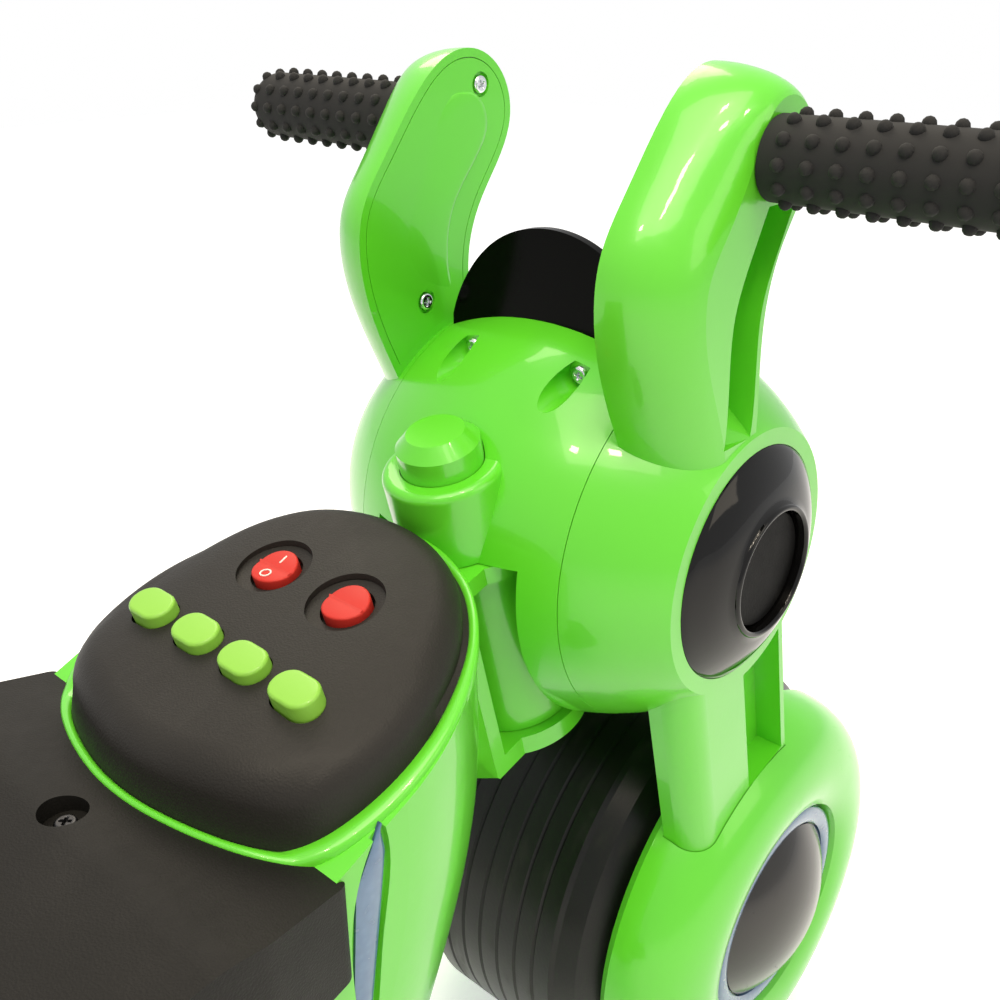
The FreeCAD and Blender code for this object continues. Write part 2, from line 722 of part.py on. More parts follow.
def grip():
    """Left grip: a sleeve with a rounded end and rows of nubs."""
    x, z = head_x - GRIP_X, head_z + GRIP_Z
    low = EAR_OUTER_Y + GRIP_COLLAR
    sleeve = rod_y(GRIP_RADIUS, low, GRIP_END_Y, x, z)
    sleeve = sleeve.makeFillet(GRIP_END_ROUND, outer_edges(sleeve, GRIP_END_Y))
    sleeve = sleeve.cut(rod_y(STUB_RADIUS + RUNNING_GAP, low - OVERRUN, GRIP_END_Y - STUB_END_GAP, x, z))
    root = Part.makePolygon(diamond(NUB_RADIUS, GRIP_RADIUS - NUB_HEIGHT))
    tip = Part.makePolygon(diamond(NUB_RADIUS / 2, GRIP_RADIUS + NUB_HEIGHT))
    nub = Part.makeLoft([root, tip], True, True)
    pitch = (GRIP_END_Y - low - 2 * NUB_MARGIN) / (NUB_ROWS - 1)
    nubs = []
    for row in range(NUB_ROWS):
        for i in range(NUB_PER_ROW):
            turn = FreeCAD.Rotation(Y_AXIS, i * 360 / NUB_PER_ROW)
            nubs.append(placed(nub, FreeCAD.Placement(Vec(x, low + NUB_MARGIN + row * pitch, z), turn)))
    return sleeve.fuse(nubs)


def ear_cup():
    """Left ear cup: a shallow cone with a raised lip round a well."""
    base = DOME_FACE_Y - CUP_SEAT
    well = CUP_LIP_RADIUS - CUP_LIP_WALL
    floor = CUP_LIP_Y - CUP_WELL
    return turned([(base, 0), (base, CUP_RADIUS), (DOME_FACE_Y, CUP_RADIUS),
                   (CUP_LIP_Y, CUP_LIP_RADIUS), (CUP_LIP_Y, well), (floor, well), (floor, 0)], head_x, head_z)


def cup_disc():
    """Matte disc at the bottom of the ear cup's well."""
    floor = CUP_LIP_Y - CUP_WELL
    radius = CUP_LIP_RADIUS - CUP_LIP_WALL - SEAM_GAP
    disc = rod_y(radius, floor, floor + CUP_DISC, head_x, head_z)
    return disc.makeChamfer(CUP_DISC / 2, outer_edges(disc, floor + CUP_DISC))


# Neck and steering
def neck_plan(half, radius):
    """Plan of a neck plate about the steering axis."""
    arm = polygon([Vec(0, half, 0), Vec(-NECK_FLARE_START, half, 0), Vec(-NECK_LENGTH, NECK_FLARE, 0),
                   Vec(-NECK_LENGTH, -NECK_FLARE, 0), Vec(-NECK_FLARE_START, -half, 0), Vec(0, -half, 0)])
    disc = Part.Face(Part.Wire(Part.makeCircle(radius)))
    return arm.fuse(disc).removeSplitter()


def neck_bracket(body):
    """The forked neck: two plates joined by a web, seated on the body's front."""
    top, low = NECK_TOP, -NECK_DROP
    plan = neck_plan(NECK_WAIST, NECK_RADIUS)
    neck = prism_z(plan.Faces[0], low, top)
    room = rod_z(neck_web_front, low + NECK_LOW_PLATE, top - NECK_TOP_PLATE)
    sides = block(-neck_web_front, NECK_RADIUS, -NECK_RADIUS - OVERRUN, NECK_RADIUS + OVERRUN,
                  low + NECK_LOW_PLATE, top - NECK_TOP_PLATE)
    neck = neck.cut(room.fuse(sides))
    neck = neck.cut(rod_z(BUSH_RADIUS, low - OVERRUN, top + OVERRUN))
    heel = polygon([Vec(-NECK_HEEL, 0, low), Vec(-NECK_LENGTH, 0, low + NECK_HEEL_RISE),
                    Vec(-NECK_LENGTH, 0, low)])
    neck = neck.cut(prism_y(heel, -NECK_FLARE, NECK_FLARE))
    return placed(neck, steer_frame).cut(body)


def steering_bushes():
    """Plain bushes in the two neck plates."""
    spans = ((-NECK_DROP, -NECK_DROP + NECK_LOW_PLATE), (NECK_TOP - NECK_TOP_PLATE, NECK_TOP))
    rings = [rod_z(BUSH_RADIUS, a, b).cut(rod_z(SHAFT_RADIUS + RUNNING_GAP, a - OVERRUN, b + OVERRUN))
             for a, b in spans]
    return Part.makeCompound([placed(ring, steer_frame) for ring in rings])


def fork_crown():
    """The knuckle between the neck plates and the beam that ties both side mouldings."""
    low, high = -NECK_DROP + NECK_LOW_PLATE + PLATE_GAP, NECK_TOP - NECK_TOP_PLATE - PLATE_GAP
    knuckle = rod_z(KNUCKLE_RADIUS, low, high)
    beam = block(-CROWN_BACK, CROWN_FRONT, -HEAD_SEAM_Y, HEAD_SEAM_Y, -CROWN_DROP, -CROWN_RELIEF)
    crown = knuckle.fuse(beam).removeSplitter()
    return placed(crown.cut(rod_z(SHAFT_RADIUS, low - OVERRUN, high + OVERRUN)), steer_frame)


def steering_shaft():
    """Steel pin with its head under the neck and its threaded end above."""
    low, high = -NECK_DROP - PLATE_GAP, NECK_TOP + PLATE_GAP + SHAFT_TAIL
    head = rod_z(SHAFT_HEAD_RADIUS, low - SHAFT_HEAD, low)
    return placed(rod_z(SHAFT_RADIUS, low, high).fuse(head), steer_frame)


def hexagon(radius):
    """A flat hexagon across corners."""
    points = [Vec(radius * math.cos(math.radians(60 * i)), radius * math.sin(math.radians(60 * i)), 0)
              for i in range(6)]
    return polygon(points)


def steering_nut():
    """Hexagon nut on the steering pin's upper end."""
    low = NECK_TOP + PLATE_GAP
    nut = prism_z(hexagon(NUT_RADIUS), low, low + NUT_HEIGHT)
    return placed(nut.cut(rod_z(SHAFT_RADIUS, low - OVERRUN, low + NUT_HEIGHT + OVERRUN)), steer_frame)


# Wheels
def tread():
    """Outer outline of a tyre as (y, radius), with flat ribs and dropped shoulders."""
    pitch = 2 * TREAD_HALF_WIDTH / RIB_COUNT
    points = []
    for i in range(RIB_COUNT):
        low = -TREAD_HALF_WIDTH + i * pitch + RIB_GROOVE / 2
        high = low + pitch - RIB_GROOVE
        points += [(low - RIB_GROOVE, WHEEL_RADIUS - RIB_GROOVE_DEPTH), (low, WHEEL_RADIUS),
                   (high, WHEEL_RADIUS)]
    points.append((high + RIB_GROOVE, WHEEL_RADIUS - RIB_GROOVE_DEPTH))
    edge_y = (TREAD_HALF_WIDTH + TYRE_HALF_WIDTH) / 2
    step = WHEEL_RADIUS - RIB_GROOVE_DEPTH - SHOULDER_DROP / 4
    right = [(-TYRE_HALF_WIDTH, WHEEL_RADIUS - SHOULDER_DROP), (-edge_y, step)]
    left = [(edge_y, step), (TYRE_HALF_WIDTH, WHEEL_RADIUS - SHOULDER_DROP)]
    return right + points + left


def front_tyre():
    """Front wheel: a closed blow-moulded drum with recessed hub faces."""
    inner = TYRE_HALF_WIDTH - WEB_THICKNESS
    drum = WHEEL_RADIUS - SHOULDER_DROP - DRUM_WALL
    bush = WHEEL_BUSH_RADIUS
    half = TYRE_HALF_WIDTH
    left = [(half, drum), (inner, drum), (inner, HUB_RADIUS), (half, HUB_RADIUS), (half, bush)]
    right = [(-y, radius) for y, radius in reversed(left)]
    return turned(tread() + left + right, front_axle_x, axle_z)


def wheel_bushes(x):
    """Plain bushes at both ends of a wheel's hub."""
    bore = AXLE_RADIUS + RUNNING_GAP
    end = TYRE_HALF_WIDTH
    ring = turned([(end - WHEEL_BUSH_LENGTH, bore), (end, bore), (end, WHEEL_BUSH_RADIUS),
                   (end - WHEEL_BUSH_LENGTH, WHEEL_BUSH_RADIUS)], x, axle_z)
    return Part.makeCompound([ring, sided(ring, RIGHT)])


def rear_tyre():
    """Rear wheel: a drum open to the left, where the gearbox stands in it."""
    half = TYRE_HALF_WIDTH
    drum = WHEEL_RADIUS - SHOULDER_DROP - DRUM_WALL
    web = WEB_THICKNESS - half
    hub_end = GEARBOX_INNER_Y - SEAM_GAP
    bush = WHEEL_BUSH_RADIUS
    outline = tread() + [(half, drum), (web, drum), (web, HUB_RADIUS), (hub_end, HUB_RADIUS), (hub_end, bush),
                         (-half, bush)]
    wheel = turned(outline, rear_axle_x, axle_z)
    return wheel.cut(dogs(SEAM_GAP))


def dogs(gap):
    """Ring of driving dogs that lock the drive hub into the wheel's hub."""
    low = GEARBOX_INNER_Y - SEAM_GAP - WHEEL_BUSH_LENGTH
    size = DOG_DEPTH + gap
    ring = []
    for i in range(DRIVE_DOGS):
        dog = block(-size / 2, size / 2, low - gap, GEARBOX_INNER_Y, WHEEL_BUSH_RADIUS - gap,
                    DRIVE_HUB_RADIUS + gap)
        turn = FreeCAD.Rotation(Y_AXIS, 360 * i / DRIVE_DOGS)
        ring.append(placed(dog, FreeCAD.Placement(Vec(rear_axle_x, 0, axle_z), turn)))
    return Part.makeCompound(ring)


def drive_hub():
    """Gearbox output: a sleeve on the axle whose dogs turn the rear wheel."""
    bore = AXLE_RADIUS + RUNNING_GAP
    low = GEARBOX_INNER_Y
    high = lobe_inner() - SEAM_GAP
    sleeve = rod_y(DRIVE_HUB_RADIUS, low, high, rear_axle_x, axle_z)
    start = low - SEAM_GAP - WHEEL_BUSH_LENGTH
    nose = rod_y(WHEEL_BUSH_RADIUS - SEAM_GAP, start, low, rear_axle_x, axle_z)
    hub = sleeve.fuse(nose).fuse(dogs(0.0).Solids)
    return hub.cut(rod_y(bore, start - OVERRUN, high + OVERRUN, rear_axle_x, axle_z)).removeSplitter()


def rear_bush():
    """Plain bush at the right end of the rear wheel's hub."""
    return sided(wheel_bushes(rear_axle_x).Solids[0], RIGHT)


# Wheel covers
def cover_points(seam, inset):
    """Outline of a cover as (y, radius), set in from its outer skin."""
    return [(seam + y * COVER_Y_SPAN - inset * (y > 0), r * COVER_RIM - inset * share)
            for (y, r), share in zip(COVER_SHARES, COVER_INSET_SHARES)]


def wheel_cover(x, seam):
    """Left outer cover: a rolled shoulder that falls in to the light ring's seat."""
    outer = [Vec(x, y, axle_z + r) for y, r in cover_points(seam, 0.0)]
    inner = [Vec(x, y, axle_z + r) for y, r in cover_points(seam, COVER_WALL)]
    floor = seam + COVER_FLOOR
    floor_out = Vec(x, floor, axle_z + LED_OUTER)
    hole = AXLE_NUT_RADIUS + COVER_WALL
    floor_hole = Vec(x, floor, axle_z + hole)
    back_hole = Vec(x, floor - COVER_WALL, axle_z + hole)
    back_out = Vec(x, floor - COVER_WALL, axle_z + LED_OUTER + COVER_WALL)
    runs = [outer, [outer[-1], floor_out], [floor_out, floor_hole], [floor_hole, back_hole],
            [back_hole, back_out], [back_out, inner[-1]], inner[::-1], [inner[0], outer[0]]]
    return revolve(face(*runs), x, axle_z)


def front_cover():
    """Front cover, open at its top where the leg passes in."""
    return wheel_cover(front_axle_x, COVER_SEAM_Y).cut(placed(leg_bar(SEAM_GAP), leg_frame))


def inner_cover():
    """Front inner cover: a thin ring beside the tyre with a spacer boss round the axle."""
    low, high = COVER_INNER_Y, COVER_SEAM_Y
    bore, boss = AXLE_RADIUS + SEAM_GAP, AXLE_NUT_RADIUS
    near = TYRE_HALF_WIDTH + SEAM_GAP
    return turned([(near, bore), (LEG_INNER_Y, bore), (LEG_INNER_Y, boss), (high, boss), (high, COVER_RIM),
                   (low, COVER_RIM - COVER_WALL), (low, boss), (near, boss)], front_axle_x, axle_z)


def led_ring(x, seam):
    """Translucent ring that lights up round the hub cap."""
    low = seam + COVER_FLOOR
    ring = turned([(low, LED_INNER), (low, LED_OUTER - SEAM_GAP), (low + LED_PROUD, LED_OUTER - SEAM_GAP),
                   (low + LED_PROUD, LED_INNER)], x, axle_z)
    return ring.makeChamfer(LED_PROUD / 3, outer_edges(ring, low + LED_PROUD))


def hub_cap(x, seam):
    """Domed cap over the axle nut."""
    low = seam + COVER_FLOOR
    rim = low + HUB_CAP_RIM
    ball = (HUB_CAP_RADIUS ** 2 + HUB_CAP_DOME ** 2) / HUB_CAP_DOME / 2
    cap = Part.makeSphere(ball, Vec(x, rim + HUB_CAP_DOME - ball, axle_z))
    cap = cap.common(rod_y(HUB_CAP_RADIUS, low, rim + HUB_CAP_DOME, x, axle_z))
    return cap.cut(rod_y(AXLE_NUT_RADIUS + COVER_WALL, low - OVERRUN, rim + AXLE_NUT_HEIGHT, x, axle_z))


def axle(x, seat_y):
    """Steel axle that ends inside the hub caps."""
    end = seat_y + AXLE_NUT_HEIGHT
    return rod_y(AXLE_RADIUS, -end, end, x, axle_z)


def axle_nuts(x, seat_y):
    """Nuts that close the axle on both sides."""
    nut = hexagon(AXLE_NUT_RADIUS).extrude(Vec(0, 0, AXLE_NUT_HEIGHT))
    nut = nut.cut(rod_z(AXLE_RADIUS, -OVERRUN, AXLE_NUT_HEIGHT + OVERRUN))
    nut = placed(nut, FreeCAD.Placement(Vec(x, seat_y, axle_z), FreeCAD.Rotation(Vec(1, 0, 0), -90)))
    return Part.makeCompound([nut, sided(nut, RIGHT)])


# Body
def body_side():
    """Side view of the body shell: a nose, the tail and the step behind the dash."""
    nose = body_x + BODY_RADIUS + OVERRUN
    corners = [(Vec(nose, 0, head_z + RIM_FRONT_Z + BODY_NOSE_RISE), 0.0),
               (Vec(nose, 0, head_z - BODY_DEPTH), 0.0)]
    for (x, z), radius in zip(BODY_SIDE_SHARES, BODY_SIDE_ROUNDS):
        corners.append((Vec(body_x - x * (body_x - tail_x), 0, head_z - z * BODY_DEPTH), radius))
    step = body_x - DASH_TAIL - BODY_LIP - SEAM_GAP
    low, high = BODY_STEP_ROUNDS
    corners.append((Vec(step - BODY_STEP_RUN, 0, corners[-1][0].z), low))
    corners.append((Vec(step, 0, head_z + RIM_REAR_Z - BODY_LIP), high))
    return rounded(corners)


def body_plan(back):
    """Plan of the body shell: a round front, drawn back, and straight sides to a rounded tail."""
    half = BODY_RADIUS
    centre = body_x - back
    bow = Part.Arc(Vec(centre, -half, 0), Vec(centre + half, 0, 0), Vec(centre, half, 0))
    reach = tail_x + BODY_TAIL_ROUND
    corner = BODY_TAIL_ROUND * (1 - math.sqrt(0.5))
    narrow = half - BODY_TAIL_ROUND
    left = Part.Arc(Vec(reach, half, 0), Vec(tail_x + corner, half - corner, 0), Vec(tail_x, narrow, 0))
    right = Part.Arc(Vec(tail_x, -narrow, 0), Vec(tail_x + corner, corner - half, 0), Vec(reach, -half, 0))
    edges = [bow.toShape(), Part.makeLine(Vec(centre, half, 0), Vec(reach, half, 0)), left.toShape(),
             Part.makeLine(Vec(tail_x, narrow, 0), Vec(tail_x, -narrow, 0)), right.toShape(),
             Part.makeLine(Vec(reach, -half, 0), Vec(centre, -half, 0))]
    return Part.Face(Part.Wire(edges))


def body_column(wall):
    """Plans of the body at several levels, its front swept back downwards, joined smoothly."""
    plans = []
    for level, back in BODY_LEVEL_SHARES:
        plan = body_plan(back * BODY_SWEEPBACK)
        outline = plan.makeOffset2D(-wall).OuterWire if wall else plan.OuterWire
        outline.translate(Vec(0, 0, head_z + level * BODY_DEPTH))
        plans.append(outline)
    return Part.makeLoft(plans, True)


def body_outer():
    """The body's outer form: its side view met by its plans."""
    return prism_y(body_side(), -2 * BODY_RADIUS, 2 * BODY_RADIUS).common(body_column(0.0))


def body_inner():
    """The space inside the body's walls."""
    side = prism_y(body_side().makeOffset2D(-BODY_WALL), -2 * BODY_RADIUS, 2 * BODY_RADIUS)
    inner = side.common(body_column(BODY_WALL))
    well = WHEEL_RADIUS + WELL_GAP + BODY_WALL
    return inner.cut(rod_y(well, -2 * BODY_RADIUS, 2 * BODY_RADIUS, rear_axle_x, axle_z))


def lobe_inner():
    """Distance of the wheel lobe's inner face from the mid-plane."""
    return REAR_SEAM_Y - LOBE_WALL


def body_shell_left(outer):
    """Left half of the body with its wheel lobe, dash opening and strip seat."""
    shell = outer.cut(body_inner())
    low = lobe_inner()
    shell = shell.cut(rod_y(WHEEL_RADIUS + WELL_GAP, -low, low, rear_axle_x, axle_z))
    shell = shell.cut(rod_y(COVER_RIM + SEAM_GAP, REAR_SEAM_Y, 2 * BODY_RADIUS, rear_axle_x, axle_z))
    half = block(-2 * WHEELBASE, 2 * WHEELBASE, SEAM_GAP / 2, 2 * BODY_RADIUS, 0, 2 * head_z)
    shell = shell.common(half).fuse(rod_y(COVER_RIM, low, REAR_SEAM_Y, rear_axle_x, axle_z))
    shell = shell.cut(rod_y(AXLE_RADIUS + SEAM_GAP, 0, 2 * BODY_RADIUS, rear_axle_x, axle_z))
    shell = shell.cut(light_strip(OVERRUN))
    shell = shell.cut(rod_y(SOCKET_RADIUS + RUNNING_GAP, 0, 2 * BODY_RADIUS, body_x - SOCKET_SETBACK,
                            head_z - SOCKET_DROP))
    opening = dash_outline(-DASH_WALL - SEAM_GAP)
    shell = shell.cut(prism_z(opening, head_z + RIM_REAR_Z - DASH_RADIUS / 2, 2 * head_z))
    return shell.cut(dash_form(SEAM_GAP, 0.0).cut(under_plane(rim_frame(), WHEELBASE))).removeSplitter()


def strip_run(shares):
    """Points along one edge of a light strip in the side view."""
    x, top = body_x - STRIP_SETBACK, head_z - STRIP_DROP
    return [Vec(x + along * STRIP_WIDTH, 0, top - down * STRIP_LENGTH) for along, down in shares]


def light_strip(proud):
    """Left light strip, a blade that tapers downwards, seated in the shell's side."""
    blade = face(strip_run(STRIP_FRONT_SHARES), strip_run(STRIP_REAR_SHARES))
    return prism_y(blade, BODY_RADIUS - STRIP_SINK, BODY_RADIUS + proud)


def charge_socket():
    """Charging socket in the left shell: a flanged barrel with a blind bore."""
    x, z = body_x - SOCKET_SETBACK, head_z - SOCKET_DROP
    out = BODY_RADIUS + SOCKET_FLANGE
    low = out - SOCKET_BORE_LENGTH
    barrel = rod_y(SOCKET_RADIUS, low - SOCKET_FLANGE, BODY_RADIUS, x, z)
    barrel = barrel.fuse(rod_y(SOCKET_RADIUS + SOCKET_FLANGE, BODY_RADIUS, out, x, z))
    return barrel.cut(rod_y(SOCKET_BORE_RADIUS, low, out + OVERRUN, x, z)).removeSplitter()


# Dash
def dash_outline(grow):
    """Plan of the dash: a round front that runs on into rounded rear corners."""
    radius, corner = DASH_RADIUS + grow, DASH_CORNER + grow
    rear = body_x - DASH_TAIL - grow
    sweep = math.radians(DASH_SWEEP)
    end = Vec(body_x + radius * math.cos(sweep), radius * math.sin(sweep), 0)
    mid_turn = (sweep + math.pi) / 2
    hub = Vec(rear + corner, 0, 0)
    along = (end.x - hub.x - corner * math.cos(sweep)) / math.sin(sweep)
    start = end + Vec(-math.sin(sweep), math.cos(sweep), 0) * along
    hub = start - Vec(math.cos(sweep), math.sin(sweep), 0) * corner
    turn = hub + Vec(math.cos(mid_turn), math.sin(mid_turn), 0) * corner
    left = [end, start, turn, Vec(rear, hub.y, 0)]
    right = [Vec(p.x, -p.y, 0) for p in left]
    bow = Part.Arc(right[0], Vec(body_x + radius, 0, 0), left[0]).toShape()
    edges = [bow, Part.makeLine(left[0], left[1]), Part.Arc(*left[1:]).toShape(),
             Part.makeLine(left[3], right[3]), Part.Arc(*right[:0:-1]).toShape(),
             Part.makeLine(right[1], right[0])]
    return Part.Face(Part.Wire(edges))


def under_plane(frame, span):
    """A block whose top is the level plane of a frame."""
    return placed(block(-span, span, -span, span, -span, 0), frame)


def rim_frame():
    """Frame of the sloping plane that the dash's edge lies in."""
    front, rear = body_x + DASH_RADIUS, body_x - DASH_TAIL
    slope = math.degrees(math.atan2(RIM_FRONT_Z - RIM_REAR_Z, front - rear))
    return FreeCAD.Placement(Vec(front, 0, head_z + RIM_FRONT_Z), FreeCAD.Rotation(Y_AXIS, -slope))


def dash_form(grow, drop):
    """The dash's wedge between its rim plane and its sloping top."""
    low = head_z - 2 * DASH_RADIUS
    wedge = prism_z(dash_outline(grow), low, head_z + DASH_RADIUS)
    sunk = FreeCAD.Placement(Vec(0, 0, -drop), FreeCAD.Rotation()).multiply(plateau_frame)
    return wedge.common(under_plane(sunk, WHEELBASE))


def dash_round(grow, drop):
    """The dash's wedge with its top edge rounded."""
    wedge = dash_form(grow, drop)
    sunk = FreeCAD.Placement(Vec(0, 0, -drop), FreeCAD.Rotation()).multiply(plateau_frame)
    return wedge.makeFillet(DASH_ROUND + grow, [e for e in wedge.Edges if on_plane(e, sunk)])


def dash_cover():
    """Moulded dash with its round top edge, switch wells and button holes."""
    dash = dash_round(0.0, 0.0).cut(dash_round(-DASH_WALL, DASH_WALL))
    dash = dash.cut(under_plane(rim_frame(), WHEELBASE))
    for y in (ROCKER_Y, -ROCKER_Y):
        well = rod_z(BEZEL_RADIUS + SEAM_GAP, -BEZEL_DEPTH, OVERRUN, 0, y)
        dash = dash.cut(placed(well, plateau_frame))
    for i in range(BUTTON_COUNT):
        hole = prism_z(button_face(i, SEAM_GAP), -BUTTON_STEM - OVERRUN, OVERRUN)
        dash = dash.cut(placed(hole, plateau_frame))
    return dash.removeSplitter()


def on_plane(e, frame):
    """True where an edge lies in the level plane of a frame."""
    back = frame.inverse()
    spots = e.discretize(5)
    return all(abs(back.multVec(p).z) < RUNNING_GAP for p in spots)


def buttons_x():
    """Place of the row of song buttons along the dash's sloping top."""
    return -BUTTON_SETBACK / math.cos(math.radians(PLATEAU_SLOPE))


def button_face(i, grow):
    """Plan of one song button, an oblong with round ends, on the dash's top."""
    y = (i - (BUTTON_COUNT - 1) / 2) * BUTTON_PITCH
    x = buttons_x()
    half, long = BUTTON_WIDTH / 2 + grow, BUTTON_LENGTH / 2 + grow
    corner = half * BUTTON_CORNER_SHARE
    return rounded([(Vec(x - half, y - long, 0), corner), (Vec(x + half, y - long, 0), corner),
                    (Vec(x + half, y + long, 0), corner), (Vec(x - half, y + long, 0), corner)])


def song_button(i):
    """One song button: a domed cap above the dash and its stem below."""
    cap = prism_z(button_face(i, 0.0), -BUTTON_STEM, BUTTON_RISE)
    return placed(cap.makeChamfer(BUTTON_ROUND, top_edges(cap, BUTTON_RISE)), plateau_frame)


def switch_housing(y):
    """Round housing of a rocker switch, sunk in the dash, with its rocker's well."""
    body = rod_z(BEZEL_RADIUS, -BEZEL_DEPTH, -BEZEL_SINK, 0, y)
    well = rod_z(BEZEL_RADIUS - BEZEL_WALL, BEZEL_WALL - BEZEL_DEPTH, OVERRUN, 0, y)
    return placed(body.cut(well).cut(rocker_pin(y, RUNNING_GAP)), plateau_frame)


def rocker_pin(y, gap):
    """Cross pin that a rocker tilts on."""
    reach = BEZEL_RADIUS - BEZEL_WALL / 2
    pivot = -BEZEL_SINK - ROCKER_RADIUS / 2
    return Part.makeCylinder(ROCKER_PIN + gap, 2 * reach, Vec(0, y - reach, pivot), Y_AXIS)


def rocker(y):
    """Round red rocker: a disc with two sloping halves that meet at its middle."""
    peak = ROCKER_RISE - BEZEL_SINK
    low = -BEZEL_SINK - ROCKER_RADIUS / 2
    body = rod_z(ROCKER_RADIUS, low, peak, 0, y)
    span = 2 * ROCKER_RADIUS
    for side in (1, -1):
        tilt = FreeCAD.Placement(Vec(0, y, peak - ROCKER_RISE / 2),
                                 FreeCAD.Rotation(Y_AXIS, -side * ROCKER_ANGLE))
        upper = block(0, span, -span, span, 0, span) if side > 0 else block(-span, 0, -span, span, 0, span)
        body = body.cut(placed(upper, tilt))
    return placed(body.fuse(rocker_pin(y, 0.0)).removeSplitter(), plateau_frame)


# Seat
def seat():
    """Moulded seat: its side view met by its plan, with a skirt over the body's sides."""
    front = body_x - SEAT_SETBACK
    base = head_z + RIM_REAR_Z - SEAT_RISE / 3
    corners = [(Vec(front - x * SEAT_LENGTH, 0, base + z * SEAT_RISE), radius)
               for (x, z), radius in zip(SEAT_SIDE_SHARES, SEAT_SIDE_ROUNDS)]
    side = prism_y(rounded(corners), -SEAT_HALF_WIDTH, SEAT_HALF_WIDTH)
    rear = front - SEAT_LENGTH
    plan = rounded([(Vec(front, SEAT_FRONT_HALF, 0), SEAT_ROUND),
                    (Vec(front - SEAT_SHOULDER, SEAT_HALF_WIDTH, 0), SEAT_CORNER),
                    (Vec(rear + SEAT_SHOULDER, SEAT_HALF_WIDTH, 0), SEAT_CORNER),
                    (Vec(rear, SEAT_REAR_HALF, 0), SEAT_CORNER / 2),
                    (Vec(rear, -SEAT_REAR_HALF, 0), SEAT_CORNER / 2),
                    (Vec(rear + SEAT_SHOULDER, -SEAT_HALF_WIDTH, 0), SEAT_CORNER),
                    (Vec(front - SEAT_SHOULDER, -SEAT_HALF_WIDTH, 0), SEAT_CORNER),
                    (Vec(front, -SEAT_FRONT_HALF, 0), SEAT_ROUND)])
    dash = prism_z(dash_outline(BODY_LIP + SEAM_GAP), 0, 2 * head_z)
    return side.common(prism_z(plan, 0, 2 * head_z)).cut(dash)


def seat_cover(body):
    """The seat on the body, with the sunk hole of its screw."""
    form = seat()
    hole = rod_z(SEAT_HOLE_RADIUS, seat_top() - SEAT_HOLE_DEPTH, 2 * head_z, seat_screw_x())
    shank = rod_z(SCREW_SHANK_RADIUS + RUNNING_GAP, 0, 2 * head_z, seat_screw_x())
    return form.cut(body).cut(hole).cut(shank)


def seat_screw_x():
    """Place of the seat's screw along the bike."""
    return body_x - SEAT_SETBACK - SEAT_SCREW_INSET


def seat_top():
    """Height of the seat's skin at its screw."""
    probe = Part.makeLine(Vec(seat_screw_x(), 0, 0), Vec(seat_screw_x(), 0, 2 * head_z))
    return seat().common(probe).BoundBox.ZMax


def seat_screw():
    """The screw that holds the seat down."""
    place = Vec(seat_screw_x(), 0, seat_top() - SEAT_HOLE_DEPTH)
    return placed(screw(), FreeCAD.Placement(place, FreeCAD.Rotation()))


# Foot rests and pedal
def footrest():
    """Left foot rest: a step with rounded outer corners and cross grooves."""
    half, inner, outer = rest_length / 2, BODY_RADIUS, BODY_RADIUS + REST_REACH
    tip = half * REST_TIP_SHARE
    plan = rounded([(Vec(rest_x - half, inner, 0), 0.0), (Vec(rest_x + half, inner, 0), 0.0),
                    (Vec(rest_x + tip, outer, 0), REST_CORNER), (Vec(rest_x - tip, outer, 0), REST_CORNER)])
    step = prism_z(plan, rest_top - REST_THICKNESS, rest_top)
    return step.makeChamfer(REST_ROUND, top_edges(step, rest_top))


def grooved(step):
    """Cross grooves over the top of a foot rest."""
    pitch = rest_length * REST_RIBBED_SHARE / REST_RIB_COUNT
    for i in range(REST_RIB_COUNT):
        place = rest_x + (i - (REST_RIB_COUNT - 1) / 2) * pitch
        low, high = BODY_RADIUS + REST_CORNER / 2, BODY_RADIUS + REST_REACH - REST_CORNER / 2
        step = step.cut(block(place - REST_RIB / 2, place + REST_RIB / 2, low, high,
                              rest_top - REST_RIB_DEPTH, rest_top + OVERRUN))
    return step


def pedal_mid():
    """Distance of the pedal's middle from the mid-plane."""
    return BODY_RADIUS + REST_REACH / 2


def pedal_pivot():
    """Axis point of the foot pedal on the right-hand rest."""
    return Vec(rest_x - rest_length * PEDAL_INSET_SHARE, -pedal_mid(), rest_top + LUG_RISE)


def pedal_lugs():
    """Two lugs on the right-hand rest that hold the pedal's trunnions."""
    pivot = pedal_pivot()
    lugs = []
    for side in (1, -1):
        inner = PEDAL_WIDTH / 2 + SEAM_GAP
        low, high = sorted((pivot.y + side * inner, pivot.y + side * (inner + LUG_WIDTH)))
        ear_ = rod_y(LUG_RADIUS, low, high, pivot.x, pivot.z)
        foot = block(pivot.x - LUG_RADIUS, pivot.x + LUG_RADIUS, low, high, rest_top - REST_ROUND, pivot.z)
        lugs.append(ear_.fuse(foot).cut(rod_y(TRUNNION_RADIUS + RUNNING_GAP, low - OVERRUN, high + OVERRUN,
                                              pivot.x, pivot.z)))
    return lugs


